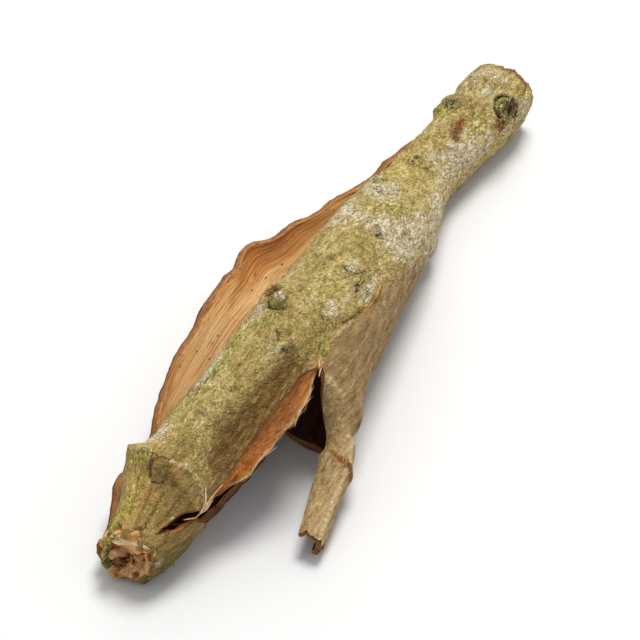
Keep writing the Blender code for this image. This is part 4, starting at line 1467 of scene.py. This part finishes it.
# Grains: how many are tried, where they lie, their radii, colours and flatness
GRAINS = [
    (15000, olive_share, (0.08, 0.20),
     [(0.40, 0.30, 0.12), (0.45, 0.35, 0.16), (0.34, 0.25, 0.08), (0.48, 0.39, 0.20),
      (0.36, 0.29, 0.09)], 0.4),
    (16000, pale_share, (0.10, 0.28),
     [(0.68, 0.60, 0.44), (0.78, 0.72, 0.60), (0.60, 0.51, 0.34), (0.52, 0.43, 0.23)], 0.5),
    (9000, moss_share, (0.12, 0.30),
     [(0.34, 0.31, 0.06), (0.46, 0.43, 0.11), (0.23, 0.20, 0.04)], 0.7),
]
GRAIN_SEED = 11


def make_granules():
    """Grains of crust and lichen, too coarse to be drawn by the material alone."""
    rng = np.random.default_rng(GRAIN_SEED)
    parts = Parts()
    for kind in GRAINS:
        scatter(rng, parts, *kind)
    parts.finish("lichen_grains", 0.9, (0.3, 0.3, 0.3))


MOSS_SEED = 5
TUFTS = 9000            # how many are tried
TUFT_SPREAD = 0.16
LEAF_SINKS = 0.05       # into the bark
LEAF_SIZES = (0.07, 0.15)
MOSS_TINTS = [(0.33, 0.32, 0.055), (0.46, 0.44, 0.10), (0.22, 0.21, 0.04), (0.56, 0.51, 0.17)]


def make_moss():
    """Tufts of small pointed leaves."""
    rng = np.random.default_rng(MOSS_SEED)
    x, turn = open_places(rng, TUFTS)
    keep = rng.random(len(x)) < 0.5 * clamp(1.3 * patches(x, turn, MOSS_PATCHES) - 0.45)
    x, turn = x[keep], turn[keep]
    normals = np.repeat(surface_normal(torn_x(x, turn), turn), LEAVES, axis=0)
    middles = np.repeat(outer_points(x, turn), LEAVES, axis=0)
    middles = middles + rng.normal(0.0, TUFT_SPREAD, middles.shape) - LEAF_SINKS * normals
    size = rng.uniform(*LEAF_SIZES, len(middles))
    scale = np.stack([size, size, size * rng.uniform(0.8, 1.3, len(size))], axis=1)
    tints = jittered(rng, MOSS_TINTS, len(middles))
    parts = Parts()
    parts.add_copies(LEAF, LEAF_FACES, middles, frames_at(rng, normals, LEAF_LEAN), scale, tints)
    parts.finish("moss_leaves", 0.8, (0.4, 0.4, 0.4))


BLADE_SECTION = 0.5 * np.array([(1, 0), (0.6, 0.9), (-0.6, 0.9), (-1, 0), (-0.6, -0.9), (0.6, -0.9)])


def ribbon(parts, path, widths, thicknesses, flat_side, tints):
    """A tapered blade along a path: a flat six-sided tube, closed at both ends."""
    path = np.asarray(path, float)
    rows, corners = len(path), len(BLADE_SECTION)
    tangent = unit(np.gradient(path, axis=0))
    across = unit(np.cross(tangent, flat_side))
    up = np.cross(across, tangent)
    points = (path[:, None, :]
              + BLADE_SECTION[None, :, :1] * across[:, None, :] * widths[:, None, None]
              + BLADE_SECTION[None, :, 1:] * up[:, None, :] * thicknesses[:, None, None])
    faces = []
    for row in range(rows - 1):
        for k in range(corners):
            a, b = row * corners + k, row * corners + (k + 1) % corners
            faces += [(a, b, b + corners), (a, b + corners, a + corners)]
    last = (rows - 1) * corners
    faces += [(0, k + 1, k) for k in range(1, corners - 1)]
    faces += [(last, last + k, last + k + 1) for k in range(1, corners - 1)]
    share = np.linspace(0.0, 1.0, rows)[:, None, None]
    tint_start, tint_end = np.array(tints)
    tints = mix(tint_start, tint_end, share) + np.zeros(points.shape)
    parts.add(points.reshape(-1, 3), faces, tints.reshape(-1, 3))


def fibre(rng, parts, start, direction, bend, lengths, widths, tints):
    length, width = rng.uniform(*lengths), rng.uniform(*widths)
    share = np.linspace(0.0, 1.0, FIBRE_ROWS)[:, None]
    path = start + direction * (length * share) + bend * (length * share * share)
    taper = np.sin(np.linspace(0.55, 1.0, FIBRE_ROWS) * np.pi) ** 0.6
    taper[-1] = 0.12
    ribbon(parts, path, width * taper, width * FIBRE_FLATNESS * taper, rng.normal(size=3), tints)


FIBRE_ROWS = 6          # of points along a fibre
# The colours of a fibre's start and end
FIBRE_TINTS = [((0.56, 0.28, 0.10), (0.78, 0.54, 0.28)), ((0.46, 0.18, 0.045), (0.62, 0.30, 0.10)),
               ((0.70, 0.44, 0.20), (0.86, 0.66, 0.42)), ((0.34, 0.13, 0.035), (0.52, 0.24, 0.08))]
CREAM_TINTS = [((0.70, 0.44, 0.20), (0.86, 0.68, 0.44)), ((0.60, 0.30, 0.10), (0.84, 0.60, 0.34)),
               ((0.78, 0.56, 0.32), (0.90, 0.74, 0.52)), ((0.40, 0.13, 0.035), (0.66, 0.34, 0.12))]


def edge_fibres(rng, parts, count, span, turn_at, lengths, widths, depths, out):
    """Fibres that peel off along a torn edge, running almost lengthwise."""
    for _ in range(count):
        x = np.array([rng.uniform(*span)])
        turn = turn_at(x)
        depth = rng.uniform(*depths)
        normal = surface_normal(x, turn)[0]
        start = mix(outer_points(x, turn)[0], inner_points(x, turn)[0], depth)
        before, after = x - EDGE_REACH, x + EDGE_REACH
        edge = unit(surface(after, turn_at(after))[0] - surface(before, turn_at(before))[0])
        way = rng.choice([-1.0, 1.0]) * edge
        direction = unit(way + out * rng.normal(size=3) - 0.5 * out * normal)
        bend = out * rng.normal(size=3)
        tints = FIBRE_TINTS[rng.integers(len(FIBRE_TINTS))]
        fibre(rng, parts, start, direction, bend, lengths, widths, tints)


def end_fibres(rng, parts, count, x, way, turns, lengths, widths, inward):
    """Torn bast that stands out of an open end; way is -1 at the mouth and 1 at the tube."""
    for _ in range(count):
        turn = np.array([rng.uniform(*turns)])
        place = np.array([x - way * rng.uniform(0.2, 1.4)])
        normal = surface_normal(place, turn)[0]
        depth = rng.uniform(0.5, 1.0)
        start = mix(outer_points(place, turn)[0], inner_points(place, turn)[0], depth)
        direction = unit(np.array([way, 0.0, 0.0]) - inward * normal * rng.uniform(0.1, 1.0)
                         + 0.25 * rng.normal(size=3))
        bend = 0.3 * rng.normal(size=3) - 0.25 * normal
        tints = CREAM_TINTS[rng.integers(len(CREAM_TINTS))]
        fibre(rng, parts, start, direction, bend, lengths, widths, tints)


# Fibres along an edge: how many, where, the edge's turn, lengths, widths, depths in the edge and
# how far they stray
PEELING = [
    (120, (17.0, 42.0), upper_edge, (1.2, 3.6), (0.10, 0.24), (0.1, 0.9), 0.05),
    (80, (17.0, 42.0), upper_edge_inside, (1.2, 3.0), (0.07, 0.18), (0.5, 1.0), 0.05),
    (80, (8.0, 43.0), lower_lip_turn, (1.0, 3.5), (0.07, 0.18), (0.2, 1.0), 0.12),
    (170, (6.0, 122.0), rim_turn, (1.0, 4.0), (0.06, 0.15), (0.3, 1.0), 0.05),
]
# Fibres at an end: how many, its x, the way out, turns, lengths, widths and how far they lean in
FRAYED = [
    (380, MOUTH_X, -1.0, (-30.0, 300.0), (0.6, 2.2), (0.10, 0.30), 1.5),
    (60, LENGTH - 0.4, 1.0, (0.0, 330.0), (0.3, 0.9), (0.1, 0.25), 0.3),
]
FIBRE_SEED = 3


def make_fibres():
    rng = np.random.default_rng(FIBRE_SEED)
    parts = Parts()
    for kind in PEELING:
        edge_fibres(rng, parts, *kind)
    for kind in FRAYED:
        end_fibres(rng, parts, *kind)
    parts.finish("bast_fibres", 0.7, (1.2, 0.15, 0.15))


FLAKE_ROWS = 14         # of points along a flake
CREAM_FLAKE = ((0.70, 0.48, 0.26), (0.78, 0.58, 0.35))
ORANGE_FLAKE = ((0.60, 0.30, 0.10), (0.78, 0.50, 0.24))
TAN_FLAKE = ((0.60, 0.36, 0.16), (0.74, 0.50, 0.27))
BROWN_FLAKE = ((0.30, 0.13, 0.04), (0.54, 0.30, 0.12))
# Places as x and turn, lift over the bark, widths, thickness and colours
FLAKES = [
    ([(18.0, 160), (15.8, 163), (14.2, 165), (12.6, 164)], (0.0, 0.15, 0.25, 0.1),
     (0.2, 0.4, 0.55, 0.15), 0.2, ORANGE_FLAKE),
    ([(15.2, 150), (14.2, 157), (13.0, 163), (12.2, 167)], (0.1, 0.3, 0.35, 0.2),
     (0.25, 0.35, 0.45, 0.15), 0.22, CREAM_FLAKE),
    ([(15.4, 168), (13.6, 169), (11.8, 166)], (0.0, 0.3, 0.1), (0.3, 0.5, 0.12), 0.2, CREAM_FLAKE),
    ([(12.9, 168), (11.2, 162), (9.4, 150)], (0.1, 0.2, 0.1), (0.3, 0.3, 0.1), 0.16, ORANGE_FLAKE),
    ([(44.6, 133), (43.2, 136), (42.0, 138)], (0.0, 0.2, 0.4), (0.4, 0.4, 0.1), 0.18, ORANGE_FLAKE),
    ([(44.2, 137), (42.8, 140), (41.4, 143)], (0.0, 0.2, 0.6), (0.3, 0.35, 0.1), 0.16, TAN_FLAKE),
    ([(45.0, 139), (43.6, 138.5), (42.2, 137)], (-0.2, 0.2, 0.4), (0.4, 0.3, 0.1), 0.16, BROWN_FLAKE),
]


def spaced_out(values):
    """The values at even steps from the first to the last."""
    steps = np.linspace(0.0, 1.0, FLAKE_ROWS)
    return np.interp(steps, np.linspace(0.0, 1.0, len(values)), values)


def flake_on_sheet(parts, places, lift, widths, thickness, tints):
    """A blade lying on the sheet's outside along a few places."""
    x, turn = (spaced_out(values) for values in np.array(places, float).T)
    normal = surface_normal(x, turn)
    path = outer_points(x, turn) + normal * spaced_out(lift)[:, None]
    ribbon(parts, path, spaced_out(widths), np.full(FLAKE_ROWS, thickness), normal, tints)


def make_splinters():
    """The larger torn flakes: at the mouth, at the end of the brim and in the tear's corner."""
    parts = Parts()
    for flake in FLAKES:
        flake_on_sheet(parts, *flake)
    parts.finish("splinters", 0.75, (1.6, 0.2, 0.2))


MOUTH_HOLLOWS = [(6.2, 3.6, 1.5, 1.5, 1.0), (2.6, 6.4, 0.7, 0.8, 0.9), (4.2, 5.4, 0.8, 0.5, 0.5),
                 (8.0, 5.6, 0.6, 0.9, 0.5)]  # y, z, half width, half height and depth
MOUTH_BANDS = [(8.7, 0.8, 0.8), (2.0, 0.8, 0.7)]  # z, half height and how far they stand out
BAST_SHADES = [(0.0, (0.15, 0.028, 0.010)), (0.25, (0.40, 0.105, 0.025)), (0.45, (0.72, 0.29, 0.075)),
               (0.62, (0.88, 0.47, 0.16)), (0.8, (0.93, 0.64, 0.33)), (1.0, (0.97, 0.80, 0.54))]


def mouth_bast_height(points):
    """How far the torn bast stands out, and how pale it is, at places across the mouth."""
    _, y, z = np.moveaxis(points, -1, 0)
    tilted = z + 0.25 * (y - 5.0)
    fibres = np.stack([points[..., 0], y, tilted], axis=-1)
    lines = 0.6 * grain(fibres, (1.0, 2.6, 0.55), 8.0) + 0.5 * grain(fibres, (0.6, 1.1, 0.26), 3.0)
    hollow = np.zeros(z.shape)
    for middle_y, middle_z, width, height, depth in MOUTH_HOLLOWS:
        away = ((y - middle_y) / width) ** 2 + ((z - middle_z) / height) ** 2
        hollow = np.maximum(hollow, depth * np.exp(-away * (1.0 + 0.8 * lines)))
    band = sum(rise * np.exp(-((tilted - middle) / half) ** 2) for middle, half, rise in MOUTH_BANDS)
    # paler where the bast stands out and darker in its hollows: partly its own colour, partly painted
    # shade
    return 0.9 * lines + band - 2.2 * hollow, clamp(0.55 + 0.45 * lines + 0.35 * band - 0.8 * hollow)


MOUTH_GRID = (26, 90)   # rings from the bark to the middle, and points round each


def mouth_bast_faces():
    """A disc of rings in front and another behind it, joined round the outermost ring."""
    rows, columns = MOUTH_GRID
    index = np.arange(rows * columns).reshape(rows, columns)
    after = np.roll(index, -1, axis=1)
    quads = np.stack([index[:-1], after[:-1], after[1:], index[1:]], axis=-1).reshape(-1, 4)
    inner, outer = index[-1], index[0]
    middle = np.stack([np.full(columns - 2, inner[0]), inner[2:], inner[1:-1]], axis=-1)
    front = np.concatenate([quads[:, [0, 2, 1]], quads[:, [0, 3, 2]], middle])
    below = rows * columns
    rim = np.stack([outer, after[0], after[0] + below, outer + below], axis=-1)
    return np.concatenate([front, front[:, ::-1] + below, rim[:, [0, 1, 2]], rim[:, [0, 2, 3]]])


def make_mouth_bast():
    """Torn inner bark drawn together across the mouth, with red-brown hollows that are partly painted
    shade.
    """
    rows, columns = MOUTH_GRID
    share, turn = grid(np.linspace(1.0, 0.02, rows), np.linspace(0.0, 360.0, columns, endpoint=False))
    x = np.full(share.shape, MOUTH_X + 2.2)
    axis = np.stack([x, along(AXIS_Y, x), along(RADIUS, x) + along(AXIS_LIFT, x)], axis=-1)
    flat = axis + (surface(x, turn) - axis) * (0.86 * share)[..., None]
    stands_out, pale = mouth_bast_height(flat)
    lengthwise = np.array([1.0, 0.0, 0.0])
    front = flat - (0.9 + stands_out)[..., None] * lengthwise
    back = flat + 1.9 * lengthwise
    places, shades = zip(*BAST_SHADES)
    tint = np.stack([np.interp(pale.ravel(), places, shade) for shade in zip(*shades)], axis=-1)
    parts = Parts()
    parts.add(point_list(front, back), mouth_bast_faces(), np.concatenate([tint, tint]))
    parts.finish("mouth_bast", 0.75, (0.3, 1.2, 0.14))


EAR_GRID = (13, 25)     # from its root to its tip, and across
EAR_TINT = np.array([0.3, 0.3, 0.1])
EAR_ROOT, EAR_TIP = (4.6, 9.3, 5.6), (0.3, 8.3, 5.0)
EAR_HALF_WIDTH = 2.7
EAR_OUT = np.array([(-0.25, 1.0, 0.1), (-1.0, 0.3, 0.1)])  # where it faces at its root and tip
EAR_OUTER, EAR_INNER = 0.45, 0.3  # how far its faces lie from its middle


def make_ear():
    """A rounded lobe of outer bark that curls over the left side of the mouth."""
    rows, columns = EAR_GRID
    share, side = grid(np.linspace(0.0, 1.0, rows), np.linspace(-1.0, 1.0, columns))
    bends = (np.sin(0.5 * np.pi * share), share ** 2, share)
    middle = np.stack([mix(*part) for part in zip(EAR_ROOT, EAR_TIP, bends)], axis=-1)
    half = EAR_HALF_WIDTH * np.sqrt(np.maximum(1.0 - (0.15 + 0.82 * share) ** 4, 0.03))
    middle = middle + np.stack([0.25 * half * side ** 2, -0.35 * half * side ** 2, half * side], axis=-1)
    out = unit(mix(*EAR_OUT, share[..., None]))
    relief = 0.14 * grain(middle, 1.1, 2.0) + 0.1 * grain(middle, 0.5, 5.0)
    upper = middle + out * (EAR_OUTER + relief)[..., None]
    lower = middle - out * EAR_INNER
    parts = Parts()
    parts.add(point_list(upper, lower), shell_faces(rows, columns)[:, ::-1], EAR_TINT)
    mesh = parts.mesh("ear")
    edge = np.tile(clamp(1.6 * np.maximum(share, abs(side)) - 0.7).ravel(), 2)
    add_vector(mesh, "cover", np.outer(1.0 - 0.4 * edge, (1.0, 0.0, 0.0)))
    add_vector(mesh, "dark_rust_flange", np.outer(0.75 * edge, (1.0, 0.0, 0.0)))
    make_piece("ear", mesh, [bpy.data.materials["bark_outside"]])


SLIT_GRID = (36, 8)     # along the slit, and across
SLIT_MARGINS = (0.6, 2.2)  # how far the bast reaches past the slit, along x and in degrees
SLIT_DEPTHS = (0.22, 1.1)  # of its upper and lower face
SLIT_BROWN = np.array([0.20, 0.085, 0.020])
SLIT_CREAM = np.array([0.62, 0.37, 0.095])


def make_slit_bast():
    """The brown inner bark seen in the small slit above the strip."""
    rows, columns = SLIT_GRID
    start, end = SLIT_X
    beyond, beside = SLIT_MARGINS
    x, across = grid(np.linspace(start - beyond, end + beyond, rows), np.linspace(-1.0, 1.0, columns))
    turn = along(UPPER_LIP_TURN, x) + across * (slit_half_turn(x) + beside)
    flat, normal = surface(x, turn), surface_normal(x, turn)
    rough = 0.18 * grain(flat, (2.0, 0.3, 0.3), 6.0)
    upper_depth, lower_depth = SLIT_DEPTHS
    upper = flat - normal * (upper_depth + rough)[..., None]
    lower = flat - normal * lower_depth
    tint = mix(SLIT_BROWN, SLIT_CREAM, bell(across.ravel() / 0.6)[:, None])
    parts = Parts()
    parts.add(point_list(upper, lower), shell_faces(rows, columns), np.concatenate([tint, tint]))
    parts.finish("slit_bast", 0.8, (1.4, 0.2, 0.2))


# The photograph's view
VIEW_AZIMUTH = -62.0
VIEW_ELEVATION = 45.0
VIEW_DISTANCE = 1.2
VIEW_AIM = (61.3, 2.2, 8.0)  # a point of the quill, as x, y, z before it is centred
VIEW_WIDTH = 0.104           # of the frame, at the aim
SENSOR = 36.0

# Lights: direction they come from, size, power, colour and distance
LIGHTS = {
    "key": ((0.42, 0.06, 1.0), 0.6, 15.5, (1.0, 0.99, 0.97), 1.3),
    "back": ((0.9, 0.5, 0.8), 0.5, 1.2, (1.0, 1.0, 1.0), 0.9),
}
SKY = (0.98, 0.99, 1.0, 1.0)
SKY_STRENGTH = 0.6
FLOOR_HALF = 3.0
FLOOR_SHADE = 0.705
FLOOR_ROUGHNESS = 0.9


def view_back():
    azimuth, elevation = math.radians(VIEW_AZIMUTH), math.radians(VIEW_ELEVATION)
    return Vector((math.sin(azimuth) * math.cos(elevation), -math.cos(azimuth) * math.cos(elevation),
                   math.sin(elevation)))


def make_camera():
    data = bpy.data.cameras.new("camera")
    data.sensor_width = SENSOR
    data.lens = SENSOR * VIEW_DISTANCE / VIEW_WIDTH
    camera = link_object("camera", data)
    aim = Vector((np.array(VIEW_AIM) - QUILL_MIDDLE) * METRES)
    camera.location = aim + view_back() * VIEW_DISTANCE
    camera.rotation_euler = view_back().to_track_quat("Z", "Y").to_euler()
    bpy.context.scene.camera = camera


def add_light(name, direction, size, power, colour, distance):
    data = bpy.data.lights.new(name, "AREA")
    data.shape = "DISK"
    data.size = size
    data.energy = power
    data.color = colour
    light = link_object(name, data)
    direction = Vector(direction).normalized()
    light.location = direction * distance
    light.rotation_euler = direction.to_track_quat("Z", "Y").to_euler()


def make_world():
    world = bpy.data.worlds.new("studio")
    bpy.context.scene.world = world
    world.use_nodes = True
    background = world.node_tree.nodes["Background"]
    background.inputs["Color"].default_value = SKY
    background.inputs["Strength"].default_value = SKY_STRENGTH


def make_floor():
    mesh = bpy.data.meshes.new("floor")
    corners = [(-1, -1), (1, -1), (1, 1), (-1, 1)]
    mesh.from_pydata([(FLOOR_HALF * x, FLOOR_HALF * y, 0) for x, y in corners], [], [(0, 1, 2, 3)])
    floor = link_object("floor", mesh)
    material = bpy.data.materials.new("floor")
    material.use_nodes = True
    shader = material.node_tree.nodes["Principled BSDF"]
    shader.inputs["Base Color"].default_value = (FLOOR_SHADE, FLOOR_SHADE, FLOOR_SHADE, 1.0)
    shader.inputs["Roughness"].default_value = FLOOR_ROUGHNESS
    mesh.materials.append(material)


def make_studio():
    make_world()
    for name, settings in LIGHTS.items():
        add_light(name, *settings)
    make_floor()
    bpy.context.scene.view_settings.view_transform = "Standard"


make_camera()
make_studio()
make_bark()
make_slit_bast()
make_granules()
make_moss()
make_fibres()
make_splinters()
make_mouth_bast()
make_ear()
